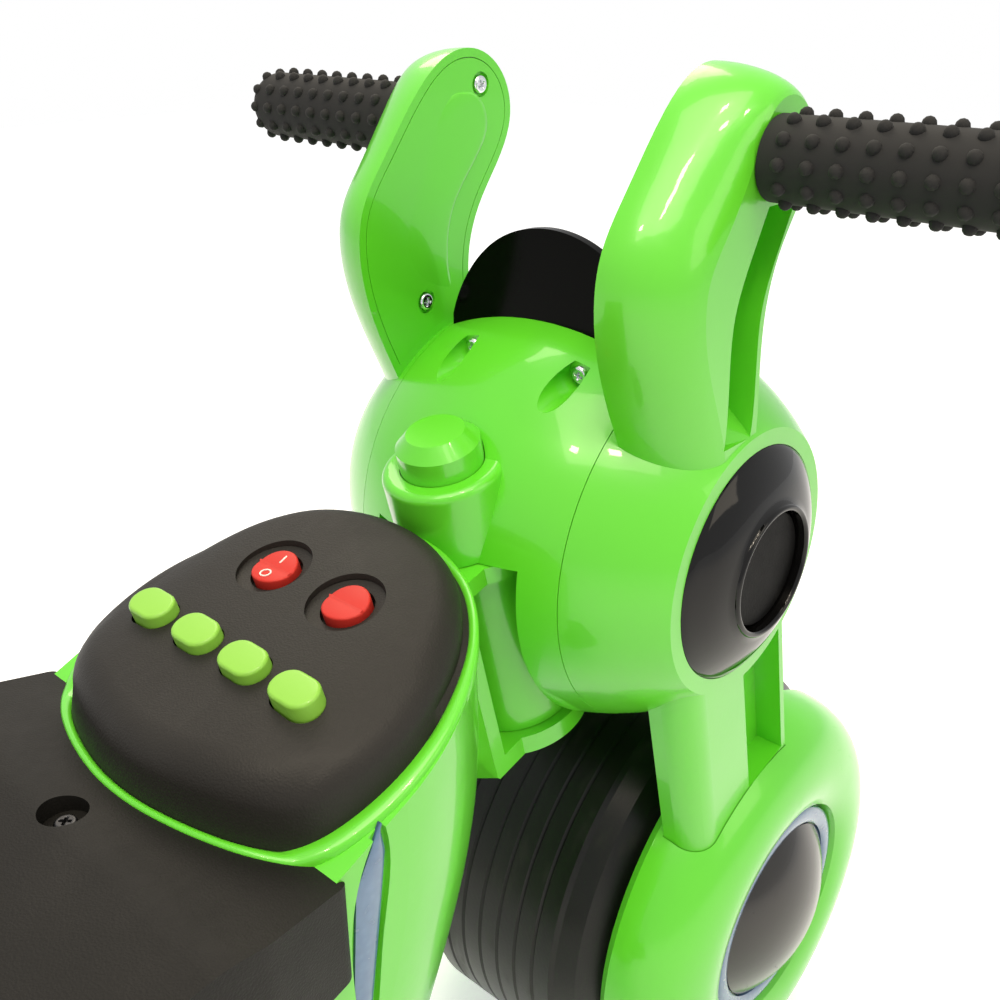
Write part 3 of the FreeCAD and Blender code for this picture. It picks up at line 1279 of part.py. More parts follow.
def foot_pedal():
    """Accelerator pedal: a ribbed plate on trunnions, tilted up at its front."""
    half = PEDAL_WIDTH / 2
    heel, toe = LUG_RADIUS / 2, REST_CORNER / 3
    plate = rounded([(Vec(-LUG_RADIUS, -half, 0), heel), (Vec(PEDAL_LENGTH, -half, 0), toe),
                     (Vec(PEDAL_LENGTH, half, 0), toe), (Vec(-LUG_RADIUS, half, 0), heel)])
    body = prism_z(plate, -PEDAL_THICKNESS / 2, PEDAL_THICKNESS / 2)
    body = body.makeChamfer(PEDAL_THICKNESS / 4, top_edges(body, PEDAL_THICKNESS / 2))
    span = half * PEDAL_RIB_SPAN_SHARE
    for share in PEDAL_RIB_SHARES:
        place = PEDAL_LENGTH * share
        body = body.cut(block(place - REST_RIB / 2, place, -span, span,
                              PEDAL_THICKNESS / 2 - REST_RIB_DEPTH / 2, PEDAL_THICKNESS))
    reach = half + SEAM_GAP + LUG_WIDTH
    body = body.fuse(rod_y(TRUNNION_RADIUS, -reach, reach, 0, 0)).removeSplitter()
    return placed(body, FreeCAD.Placement(pedal_pivot(), FreeCAD.Rotation(Y_AXIS, -PEDAL_TILT)))


# Inner pieces
def floor_z():
    """Level of the body's inner floor."""
    return head_z - BODY_DEPTH + BODY_WALL


def battery():
    """Sealed battery with a stepped lid and two terminals."""
    low = floor_z()
    rear, front = [bay_rear + bay * share for share in BATTERY_SHARES]
    half, lid_half = BATTERY_WIDTH / 2, BATTERY_WIDTH / 2 - BATTERY_CAP
    case = block(rear, front, -half, half, low, low + BATTERY_HEIGHT)
    top = low + BATTERY_HEIGHT + BATTERY_CAP
    lid = block(rear + BATTERY_CAP, front - BATTERY_CAP, -lid_half, lid_half, low + BATTERY_HEIGHT, top)
    posts = [rod_z(TERMINAL_RADIUS, top, top + TERMINAL_HEIGHT, rear + (front - rear) / 5, y)
             for y in (BATTERY_WIDTH / 4, -BATTERY_WIDTH / 4)]
    return case.fuse([lid] + posts).removeSplitter()


def speaker():
    """Round speaker on the body's floor, its cone facing down."""
    x, low = bay_rear + bay * SPEAKER_MIDDLE_SHARE, floor_z()
    radius = bay * SPEAKER_RADIUS_SHARE
    neck = radius * SPEAKER_NECK_SHARE
    rim = rod_z(radius, low, low + SPEAKER_RIM, x)
    cone = Part.makeCone(radius - SPEAKER_RIM, neck, SPEAKER_HEIGHT / 2, Vec(x, 0, low + SPEAKER_RIM), Z_AXIS)
    magnet = rod_z(neck, low + SPEAKER_RIM + SPEAKER_HEIGHT / 2, low + SPEAKER_HEIGHT, x)
    return rim.fuse([cone, magnet]).removeSplitter()


def board_top():
    """Depth of the circuit board's upper face under the dash's top."""
    return -BUTTON_STEM - BUTTON_TRAVEL - BOARD_GAP - SWITCH_HEIGHT


def control_board():
    """Circuit board under the song buttons with one key switch under each."""
    x, top = buttons_x(), board_top()
    plate = block(x - BOARD_LENGTH / 2, x + BOARD_LENGTH / 2, -BOARD_WIDTH / 2, BOARD_WIDTH / 2,
                  top - BOARD_THICKNESS, top)
    keys = []
    for i in range(BUTTON_COUNT):
        y = (i - (BUTTON_COUNT - 1) / 2) * BUTTON_PITCH
        keys.append(block(x - SWITCH_SIDE / 2, x + SWITCH_SIDE / 2, y - SWITCH_SIDE / 2, y + SWITCH_SIDE / 2,
                          top, top + SWITCH_HEIGHT))
    return placed(plate.fuse(keys).removeSplitter(), plateau_frame)


def board_bosses():
    """Posts under the dash that the circuit board is screwed to."""
    x, top = buttons_x(), board_top()
    posts = []
    for dx in (BOARD_LENGTH / 2 - BOSS_INSET, BOSS_INSET - BOARD_LENGTH / 2):
        for dy in (BOARD_WIDTH / 2 - BOSS_INSET, BOSS_INSET - BOARD_WIDTH / 2):
            posts.append(placed(rod_z(BOSS_RADIUS, top, -DASH_WALL / 2, x + dx, dy), plateau_frame))
    return posts


def gearbox():
    """Closed gear case in the open side of the rear wheel, from the axle to the motor."""
    low, high = GEARBOX_INNER_Y, lobe_inner()
    big = rod_y(GEARBOX_RADIUS, low, high, rear_axle_x, axle_z)
    nose = rod_y(GEARBOX_NOSE, low, high, rear_axle_x + GEARBOX_OFFSET, axle_z)
    lean = math.asin((GEARBOX_RADIUS - GEARBOX_NOSE) / GEARBOX_OFFSET)
    up, along = math.cos(lean), math.sin(lean)
    bridge = polygon([Vec(rear_axle_x + GEARBOX_RADIUS * along, 0, axle_z + GEARBOX_RADIUS * up),
                      Vec(rear_axle_x + GEARBOX_OFFSET + GEARBOX_NOSE * along, 0, axle_z + GEARBOX_NOSE * up),
                      Vec(rear_axle_x + GEARBOX_OFFSET + GEARBOX_NOSE * along, 0, axle_z - GEARBOX_NOSE * up),
                      Vec(rear_axle_x + GEARBOX_RADIUS * along, 0, axle_z - GEARBOX_RADIUS * up)])
    case = big.fuse([nose, prism_y(bridge, low, high)]).removeSplitter()
    return case.cut(rod_y(DRIVE_HUB_RADIUS + RUNNING_GAP, low - OVERRUN, high + OVERRUN, rear_axle_x, axle_z))


def motor():
    """Round motor on the gear case's inner face with its rear bearing boss."""
    x = rear_axle_x + GEARBOX_OFFSET
    can = rod_y(MOTOR_RADIUS, GEARBOX_INNER_Y - MOTOR_LENGTH, GEARBOX_INNER_Y, x, axle_z)
    low = GEARBOX_INNER_Y - MOTOR_LENGTH
    can = can.makeChamfer(WALL, outer_edges(can, low))
    return can.fuse(rod_y(MOTOR_BOSS, low - MOTOR_BOSS_LENGTH, low, x, axle_z)).removeSplitter()


def build():
    """Build every piece and write its node."""
    os.makedirs("parts", exist_ok=True)
    body = body_outer()
    export("head_rear_shell", head_rear_shell())
    export("head_front_shell", head_front_shell())
    export("visor", visor())
    export("head_lamp", head_lamp())
    export("shell_screws", shell_screws())
    export("handlebar_stubs", stubs())
    export("fork_crown", fork_crown())
    export("steering_shaft", steering_shaft())
    export("steering_nut", steering_nut())
    export("front_axle", axle(front_axle_x, LEG_OUTER_Y))
    export("front_axle_nuts", axle_nuts(front_axle_x, LEG_OUTER_Y))
    export("front_tyre", front_tyre())
    export("front_wheel_bushes", wheel_bushes(front_axle_x))
    export("rear_tyre", rear_tyre())
    export("rear_wheel_bush", rear_bush())
    export("drive_hub", drive_hub())
    export("rear_axle", axle(rear_axle_x, REAR_SEAM_Y))
    export("rear_axle_nuts", axle_nuts(rear_axle_x, REAR_SEAM_Y))
    export("horn_button", horn_button())
    side_parts = {"fork": fork_side(), "grip": grip(), "ear_cup": ear_cup(), "front_cover": front_cover(),
                  "rear_cover": wheel_cover(rear_axle_x, REAR_SEAM_Y), "body_shell": body_shell_left(body)}
    for name, shape in side_parts.items():
        for word, side in SIDES:
            export(name + "_" + word, sided(shape, side))
    pairs = {"ear_covers": ear_panel(), "cup_discs": cup_disc(), "front_inner_covers": inner_cover(),
             "front_led_rings": led_ring(front_axle_x, COVER_SEAM_Y),
             "front_hub_caps": hub_cap(front_axle_x, COVER_SEAM_Y),
             "rear_led_rings": led_ring(rear_axle_x, REAR_SEAM_Y),
             "rear_hub_caps": hub_cap(rear_axle_x, REAR_SEAM_Y), "light_strips": light_strip(STRIP_PROUD)}
    for name, shape in pairs.items():
        export(name, Part.makeCompound([shape, sided(shape, RIGHT)]))
    export("charge_socket", charge_socket())
    export("neck_bracket", neck_bracket(body))
    export("steering_bushes", steering_bushes())
    export("dash_cover", dash_cover().fuse(board_bosses()))
    export("switch_housings", Part.makeCompound([switch_housing(y) for y in (ROCKER_Y, -ROCKER_Y)]))
    export("power_rocker", rocker(ROCKER_Y))
    export("direction_rocker", rocker(-ROCKER_Y))
    for i in range(BUTTON_COUNT):
        export("song_button_" + str(i + 1), song_button(i))
    export("seat", seat_cover(body))
    export("seat_screw", seat_screw())
    rest = footrest()
    export("footrest_left", grooved(rest))
    export("footrest_right", sided(rest, RIGHT).fuse(pedal_lugs()).removeSplitter())
    export("foot_pedal", foot_pedal())
    export("battery", battery())
    export("speaker", speaker())
    export("control_board", control_board())
    export("gearbox", gearbox())
    export("motor", motor())


build()
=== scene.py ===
"""Looks of a child's electric ride-on bike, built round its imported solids."""

import json
import logging
import math
from dataclasses import dataclass, field
from enum import Enum
from typing import Sequence, Union

import bmesh
import bpy
from mathutils import Matrix, Vector


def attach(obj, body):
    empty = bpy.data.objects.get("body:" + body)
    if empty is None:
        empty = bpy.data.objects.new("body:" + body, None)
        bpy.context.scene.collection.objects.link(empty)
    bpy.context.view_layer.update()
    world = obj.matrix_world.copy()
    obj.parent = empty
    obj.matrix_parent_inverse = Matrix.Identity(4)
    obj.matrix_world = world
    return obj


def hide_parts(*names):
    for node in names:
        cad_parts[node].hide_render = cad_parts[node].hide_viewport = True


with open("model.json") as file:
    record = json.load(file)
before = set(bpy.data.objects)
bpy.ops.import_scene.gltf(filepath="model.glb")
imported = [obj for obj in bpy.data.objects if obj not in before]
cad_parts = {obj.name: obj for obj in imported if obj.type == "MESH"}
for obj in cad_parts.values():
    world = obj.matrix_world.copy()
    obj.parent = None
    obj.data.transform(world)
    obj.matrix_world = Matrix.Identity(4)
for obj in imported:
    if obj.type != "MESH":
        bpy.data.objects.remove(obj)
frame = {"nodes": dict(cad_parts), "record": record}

log = logging.getLogger("bike")
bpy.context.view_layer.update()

Rgb = tuple[int, int, int]
Run = Sequence[tuple[float, float]]

MM = 0.001
MERGE = 1e-6
ON_PLANE = 1e-7
HEAD = Vector((0.214, 0.0, 0.309))
FRONT_AXLE = Vector((0.265, 0.0, 0.106))
REAR_AXLE = Vector((-0.257, 0.0, 0.106))
DASH_SLOPE = math.radians(15.0)
DASH_TOP = Matrix.Translation((0.0754, 0.0, 0.3288)) @ Matrix.Rotation(-DASH_SLOPE, 4, "Y")
ROCKER_REACH = 17.6 * MM
ROCKER_TILT = math.radians(8.0)


class Side(Enum):
    """The rider's left or right, as a sign along Y."""

    LEFT = 1
    RIGHT = -1

    @property
    def label(self) -> str:
        """The side's name in small letters."""
        return self.name.lower()


def linear(colour: Rgb) -> tuple[float, float, float, float]:
    """Turn a display colour into the linear one that shaders use.

    Args:
        colour: red, green and blue from 0 to 255.

    Returns:
        Linear red, green, blue and an alpha of one.
    """
    shares = [c / 255 for c in colour]
    return (*[s / 12.92 if s < 0.04045 else ((s + 0.055) / 1.055) ** 2.4 for s in shares], 1.0)


def circle(radius: float, steps: int) -> list[tuple[float, float]]:
    """Points round a circle about the origin.

    Args:
        radius: the circle's radius.
        steps: how many points.

    Returns:
        The points, from the X axis on.
    """
    turns = [2 * math.pi * i / steps for i in range(steps)]
    return [(radius * math.cos(turn), radius * math.sin(turn)) for turn in turns]


def add_object(name: str, data: bpy.types.ID) -> bpy.types.Object:
    """Put a mesh, lamp or camera into the scene.

    Args:
        name: the object's name.
        data: what it holds.

    Returns:
        The object.
    """
    made = bpy.data.objects.new(name, data)
    bpy.context.scene.collection.objects.link(made)
    return made


def smooth(points: Sequence[Vector], fine: int, closed: bool = False) -> list[Vector]:
    """A smooth line through points.

    Args:
        points: what it passes through.
        fine: steps from one point to the next.
        closed: whether it runs back to its start.

    Returns:
        Closely spaced points, without the start again at the end of a closed line.
    """
    if closed:
        ends = [points[-1], *points, points[0], points[1]]
    else:
        ends = [2 * points[0] - points[1], *points, 2 * points[-1] - points[-2]]
    out = []
    for a, b, c, d in zip(ends, ends[1:], ends[2:], ends[3:]):
        for i in range(fine):
            t = i / fine
            out.append(((2 * b) + (c - a) * t + (2 * a - 5 * b + 4 * c - d) * t ** 2
                        + (3 * b - a - 3 * c + d) * t ** 3) / 2)
    return out if closed else out + [points[-1]]


class Amount:
    """A number that changes over a surface, usable in sums."""

    def __init__(self, graph: "Graph", socket: bpy.types.NodeSocket) -> None:
        """Hold a socket and the graph that it belongs to."""
        self.graph = graph
        self.socket = socket

    def _sum(self, operation: str, first: "Term", second: "Term") -> "Amount":
        """Add one Math node to the graph.

        Args:
            operation: the Math node's operation.
            first: its first operand.
            second: its second operand.

        Returns:
            The node's result.
        """
        node = self.graph.add("ShaderNodeMath", {"operation": operation}, {0: first, 1: second})
        return Amount(self.graph, node.outputs[0])

    def __add__(self, other: "Term") -> "Amount":
        """Add."""
        return self._sum("ADD", self, other)

    def __radd__(self, other: "Term") -> "Amount":
        """Add to a number."""
        return self._sum("ADD", other, self)

    def __sub__(self, other: "Term") -> "Amount":
        """Subtract."""
        return self._sum("SUBTRACT", self, other)

    def __rsub__(self, other: "Term") -> "Amount":
        """Subtract from a number."""
        return self._sum("SUBTRACT", other, self)

    def __mul__(self, other: "Term") -> "Amount":
        """Multiply."""
        return self._sum("MULTIPLY", self, other)

    def __rmul__(self, other: "Term") -> "Amount":
        """Multiply a number."""
        return self._sum("MULTIPLY", other, self)

    def above(self, level: float, width: float) -> "Amount":
        """A soft mask of where the amount passes a level, over a width."""
        node = self.graph.add("ShaderNodeMapRange", {"interpolation_type": "SMOOTHSTEP"},
                              {0: self, 1: level - width, 2: level + width, 3: 0.0, 4: 1.0})
        return Amount(self.graph, node.outputs[0])


Term = Union[Amount, float]


class Graph:
    """The node tree of one material or of the world."""

    def __init__(self, tree: bpy.types.NodeTree) -> None:
        """Start from an empty tree."""
        self.tree = tree
        tree.nodes.clear()

    def add(self, kind: str, settings: dict[str, object], sockets: dict[object, object]) -> bpy.types.Node:
        """Add a node.

        Args:
            kind: the node's type.
            settings: its own settings, set first.
            sockets: values or links for its inputs, by name or place.

        Returns:
            The node.
        """
        node = self.tree.nodes.new(kind)
        for name, value in settings.items():
            setattr(node, name, value)
        for key, value in sockets.items():
            if isinstance(value, Amount):
                value = value.socket
            if isinstance(value, bpy.types.NodeSocket):
                self.tree.links.new(value, node.inputs[key])
            else:
                node.inputs[key].default_value = value
        return node

    def place(self, stretch: tuple[float, float, float] = (1.0, 1.0, 1.0)) -> bpy.types.NodeSocket:
        """Object coordinates, stretched along the axes."""
        here = self.add("ShaderNodeTexCoord", {}, {}).outputs["Object"]
        return self.add("ShaderNodeMapping", {}, {"Vector": here, "Scale": stretch}).outputs[0]

    def noise(self, scale: float, detail: float,
              stretch: tuple[float, float, float] = (1.0, 1.0, 1.0)) -> Amount:
        """Cloudy variation from zero to one.

        Args:
            scale: features to a metre.
            detail: octaves of finer variation.
            stretch: scale along each axis.

        Returns:
            The noise.
        """
        node = self.add("ShaderNodeTexNoise", {},
                        {"Vector": self.place(stretch), "Scale": scale, "Detail": detail})
        return Amount(self, node.outputs[0])

    def grains(self, scale: float) -> Amount:
        """Distance to the nearest of scattered points, for pebbled grain."""
        node = self.add("ShaderNodeTexVoronoi", {"feature": "SMOOTH_F1"},
                        {"Vector": self.place(), "Scale": scale})
        return Amount(self, node.outputs[0])

    def bands(self, scale: float, axis: str) -> Amount:
        """Even bands along an axis."""
        node = self.add("ShaderNodeTexWave", {"bands_direction": axis},
                        {"Vector": self.place(), "Scale": scale})
        return Amount(self, node.outputs["Fac"])

    def blend(self, share: Amount, first: object, second: object) -> bpy.types.NodeSocket:
        """Mix two colours.

        Args:
            share: how much of the second colour shows.
            first: a colour or its socket.
            second: a colour or its socket.

        Returns:
            The mixed colour.
        """
        node = self.add("ShaderNodeMix", {"data_type": "RGBA"}, {0: share, 6: first, 7: second})
        return node.outputs[2]

    def relief(self, height: Amount, depth: float, strength: float) -> bpy.types.NodeSocket:
        """A bumped normal from a height in shares of a depth in metres."""
        node = self.add("ShaderNodeBump", {}, {"Height": height, "Distance": depth, "Strength": strength})
        return node.outputs[0]


@dataclass(frozen=True)
class Finish:
    """A surface finish: its name, its two shades and how rough it is."""

    name: str
    colour: Rgb
    shade: Rgb
    rough: float

    def dress(self, graph: Graph) -> dict[object, object]:
        """Say what feeds the shader.

        Args:
            graph: the material's node tree.

        Returns:
            Values or links for the shader's sockets.
        """
        raise NotImplementedError

    def tone(self, graph: Graph, share: Amount) -> bpy.types.NodeSocket:
        """The finish's colour with a share of its shade."""
        return graph.blend(share, linear(self.colour), linear(self.shade))

    def material(self) -> bpy.types.Material:
        """The material, made on first use.

        Returns:
            The finish's one material.
        """
        made = bpy.data.materials.get(self.name)
        if made:
            return made
        made = bpy.data.materials.new(self.name)
        made.use_nodes = True
        graph = Graph(made.node_tree)
        shader = graph.add("ShaderNodeBsdfPrincipled", {}, self.dress(graph))
        graph.add("ShaderNodeOutputMaterial", {}, {"Surface": shader.outputs[0]})
        return made


@dataclass(frozen=True)
class GlossMoulding(Finish):
    """Glossy injection-moulded plastic with a faint orange peel and fine handling marks."""

    coat: float = 0.4
    peel: float = 0.06
    shine: float = 0.5
    coat_rough: float = 0.04
    cloud_scale: float = 7.0
    smudge_scale: float = 28.0
    hair_scale: float = 90.0
    hair_stretch: tuple[float, float, float] = (1.0, 9.0, 1.0)
    peel_scale: float = 520.0
    peel_depth: float = 0.3 * MM

    def dress(self, graph: Graph) -> dict[object, object]:
        """Flow clouds in the colour, smudges in the gloss, peel in the relief."""
        cloud = graph.noise(self.cloud_scale, detail=2.0).above(level=0.52, width=0.3)
        smudge = graph.noise(self.smudge_scale, detail=5.0).above(level=0.56, width=0.16)
        hairs = graph.noise(self.hair_scale, 3.0, self.hair_stretch).above(level=0.68, width=0.05)
        peel = graph.noise(self.peel_scale, detail=2.0)
        return {"Base Color": self.tone(graph, cloud),
                "Roughness": self.rough + 0.05 * smudge + 0.06 * hairs,
                "Specular IOR Level": self.shine,
                "Coat Weight": self.coat,
                "Coat Roughness": self.coat_rough,
                "Normal": graph.relief(peel, self.peel_depth, self.peel)}


@dataclass(frozen=True)
class GrainMoulding(Finish):
    """Matte plastic from an etched mould: a pebbled grain with rubbed patches."""

    grain: float = 1500.0
    depth: float = 0.35
    shine: float = 0.42
    pits: Rgb = (12, 11, 10)
    rub_scale: float = 14.0
    gloss_scale: float = 220.0
    speck_scale: float = 2600.0
    grain_depth: float = 0.25 * MM

    def dress(self, graph: Graph) -> dict[object, object]:
        """Pebbles in the relief, rubbed and dusty patches in colour and gloss."""
        pebble = graph.grains(self.grain)
        rubbed = graph.noise(self.rub_scale, detail=4.0).above(level=0.56, width=0.14)
        gloss = graph.noise(self.gloss_scale, detail=2.0) - 0.5
        specks = graph.noise(self.speck_scale, detail=2.0)
        return {"Base Color": graph.blend(pebble * 0.16, self.tone(graph, rubbed * 0.55), linear(self.pits)),
                "Roughness": self.rough - 0.07 * rubbed + 0.08 * gloss,
                "Specular IOR Level": self.shine,
                "Normal": graph.relief(pebble + 0.5 * specks, self.grain_depth, self.depth)}


@dataclass(frozen=True)
class TyreMoulding(Finish):
    """Blow-moulded wheel: low lateral mould lines and pale scuffs."""

    shine: float = 0.28
    scuff_scale: float = 34.0
    scuff_stretch: tuple[float, float, float] = (1.0, 3.0, 1.0)
    line_scale: float = 420.0
    gloss_scale: float = 70.0
    skin_scale: float = 650.0
    skin_depth: float = 0.3 * MM

    def dress(self, graph: Graph) -> dict[object, object]:
        """Scuffs in the colour, fine turned lines in the relief."""
        scuff = graph.noise(self.scuff_scale, 6.0, self.scuff_stretch).above(level=0.63, width=0.09)
        gloss = graph.noise(self.gloss_scale, detail=3.0) - 0.5
        skin = 0.3 * graph.bands(self.line_scale, "Y") + graph.noise(self.skin_scale, detail=3.0)
        return {"Base Color": self.tone(graph, scuff * 0.3),
                "Roughness": self.rough + 0.14 * scuff + 0.06 * gloss,
                "Specular IOR Level": self.shine,
                "Normal": graph.relief(skin, self.skin_depth, strength=0.14)}


@dataclass(frozen=True)
class PlatedSteel(Finish):
    """Bright metal with fine drawn lines."""

    stretch: tuple[float, float, float] = (1.0, 0.06, 1.0)
    line_scale: float = 900.0
    line_depth: float = 0.1 * MM
    tarnish_scale: float = 55.0

    def dress(self, graph: Graph) -> dict[object, object]:
        """Drawn lines in gloss and relief, faint tarnish in the colour."""
        lines = graph.noise(self.line_scale, 3.0, self.stretch)
        tarnish = graph.noise(self.tarnish_scale, detail=4.0).above(level=0.6, width=0.15)
        return {"Base Color": self.tone(graph, tarnish),
                "Metallic": 1.0,
                "Roughness": self.rough + 0.14 * lines + 0.08 * tarnish,
                "Normal": graph.relief(lines, self.line_depth, strength=0.12)}


@dataclass(frozen=True)
class LightGuide(Finish):
    """Tinted light guide: milky body with fine prisms behind its skin."""

    coat: float = 0.6
    coat_rough: float = 0.05
    prism_colour: Rgb = (44, 72, 112)
    prism_scale: float = 420.0
    prism_depth: float = 0.3 * MM
    milk_scale: float = 24.0

    def dress(self, graph: Graph) -> dict[object, object]:
        """Prism dots in colour and relief under a clear skin."""
        prism = graph.grains(self.prism_scale)
        milky = graph.noise(self.milk_scale, detail=3.0).above(level=0.5, width=0.25)
        return {"Base Color": graph.blend(prism * 0.35, self.tone(graph, milky), linear(self.prism_colour)),
                "Roughness": self.rough + 0.05 * prism,
                "Coat Weight": self.coat,
                "Coat Roughness": self.coat_rough,
                "Normal": graph.relief(prism, self.prism_depth, strength=0.12)}


@dataclass(frozen=True)
class CircuitBoard(Finish):
    """Solder-masked board with paler tracks."""

    across_scale: float = 110.0
    along_scale: float = 70.0
    track_depth: float = 0.1 * MM

    def dress(self, graph: Graph) -> dict[object, object]:
        """Tracks in colour and relief."""
        across = graph.bands(self.across_scale, "Y").above(level=0.8, width=0.05)
        along = graph.bands(self.along_scale, "X").above(level=0.86, width=0.05)
        track = across * (1 - along)
        return {"Base Color": self.tone(graph, track * 0.6),
                "Roughness": self.rough + 0.1 * track,
                "Normal": graph.relief(track, self.track_depth, strength=0.3)}


@dataclass(frozen=True)
class ClearLens(Finish):
    """Clear moulded lens with shallow flutes."""

    clear: float = 0.55
    flute_scale: float = 26.0
    flute_depth: float = 1.0 * MM
    haze_scale: float = 30.0

    def dress(self, graph: Graph) -> dict[object, object]:
        """Flutes in relief, faint haze in gloss."""
        flute = graph.bands(self.flute_scale, "Y")
        haze = graph.noise(self.haze_scale, detail=4.0)
        return {"Base Color": self.tone(graph, haze.above(level=0.55, width=0.2)),
                "Roughness": self.rough + 0.05 * haze,
                "Transmission Weight": self.clear,
                "Normal": graph.relief(flute, self.flute_depth, strength=0.4)}


LIME = GlossMoulding("lime_gloss_moulding", (103, 215, 47), (95, 208, 41), 0.28, coat=0.5)
# Lime for the song caps, paler and yellower than the body's: painted light, standing in for the light on the
# caps' tops.
LIT_BUTTON = GlossMoulding("lime_button_moulding", (142, 202, 72), (134, 196, 64), 0.42, coat=0.1, peel=0.1)
BLACK = GlossMoulding("black_gloss_moulding", (8, 8, 8), (12, 11, 11), 0.06, coat=0.0, peel=0.02, shine=0.3)
VISOR = GlossMoulding("black_visor_moulding", (4, 4, 4), (6, 6, 5), 0.12, coat=0.0, peel=0.02, shine=0.05)
DOME = GlossMoulding("black_dome_moulding", (24, 22, 19), (30, 27, 24), 0.2, coat=0.2, peel=0.03)
RED = GlossMoulding("red_rocker_moulding", (204, 56, 46), (194, 48, 40), 0.42, coat=0.0, peel=0.08,
                    shine=0.22)
WHITE = GlossMoulding("white_mark_ink", (240, 232, 226), (226, 216, 210), 0.5, coat=0.0, peel=0.05)
DARK = GrainMoulding("dark_grained_moulding", (37, 35, 32), (47, 45, 41), 0.54, shine=0.26)
SEAT = GrainMoulding("dark_seat_moulding", (25, 24, 22), (34, 32, 29), 0.56, shine=0.18)
DISC = GrainMoulding("dark_disc_moulding", (8, 8, 8), (13, 12, 12), 0.5, shine=0.06)
RUBBER = GrainMoulding("grip_rubber", (12, 12, 11), (22, 21, 20), 0.4, grain=2600.0, depth=0.12, shine=0.5)
WHEEL = TyreMoulding("wheel_black_moulding", (13, 13, 12), (46, 44, 40), 0.34)
STEEL = PlatedSteel("plated_steel", (196, 196, 198), (150, 148, 144), 0.2)
# Dark steel for the seat's screw: painted shade, standing in for the shade inside its screw hole.
SHADE_DARKENED_STEEL = PlatedSteel("blacked_steel", (74, 74, 76), (46, 46, 47), 0.3, stretch=(1.0, 1.0, 1.0))
CHROME = PlatedSteel("screw_plating", (224, 226, 230), (188, 188, 190), 0.1, stretch=(1.0, 1.0, 1.0))
BLUE = LightGuide("blue_light_guide", (74, 110, 150), (98, 132, 168), 0.24)
LENS = ClearLens("clear_lens", (226, 232, 238), (206, 214, 222), 0.05)
GREY = GrainMoulding("inner_grey_moulding", (128, 128, 130), (146, 146, 147), 0.55)
NYLON = GrainMoulding("white_bearing_moulding", (214, 213, 207), (226, 225, 220), 0.42, grain=900.0,
                      depth=0.12)
BOARD = CircuitBoard("green_circuit_board", (28, 92, 46), (78, 138, 74), 0.35)

SLOT_FINISHES: dict[str, Finish] = {
    "lime_gloss": LIME, "lime_button": LIT_BUTTON, "black_gloss": BLACK, "red_rocker": RED, "dark_matte": DARK,
    "grip_rubber": RUBBER, "wheel_black": WHEEL, "steel": STEEL, "screw_chrome": CHROME, "blue_light": BLUE,
    "clear_lens": LENS, "inner_grey": GREY, "bearing_white": NYLON, "board_green": BOARD,
}


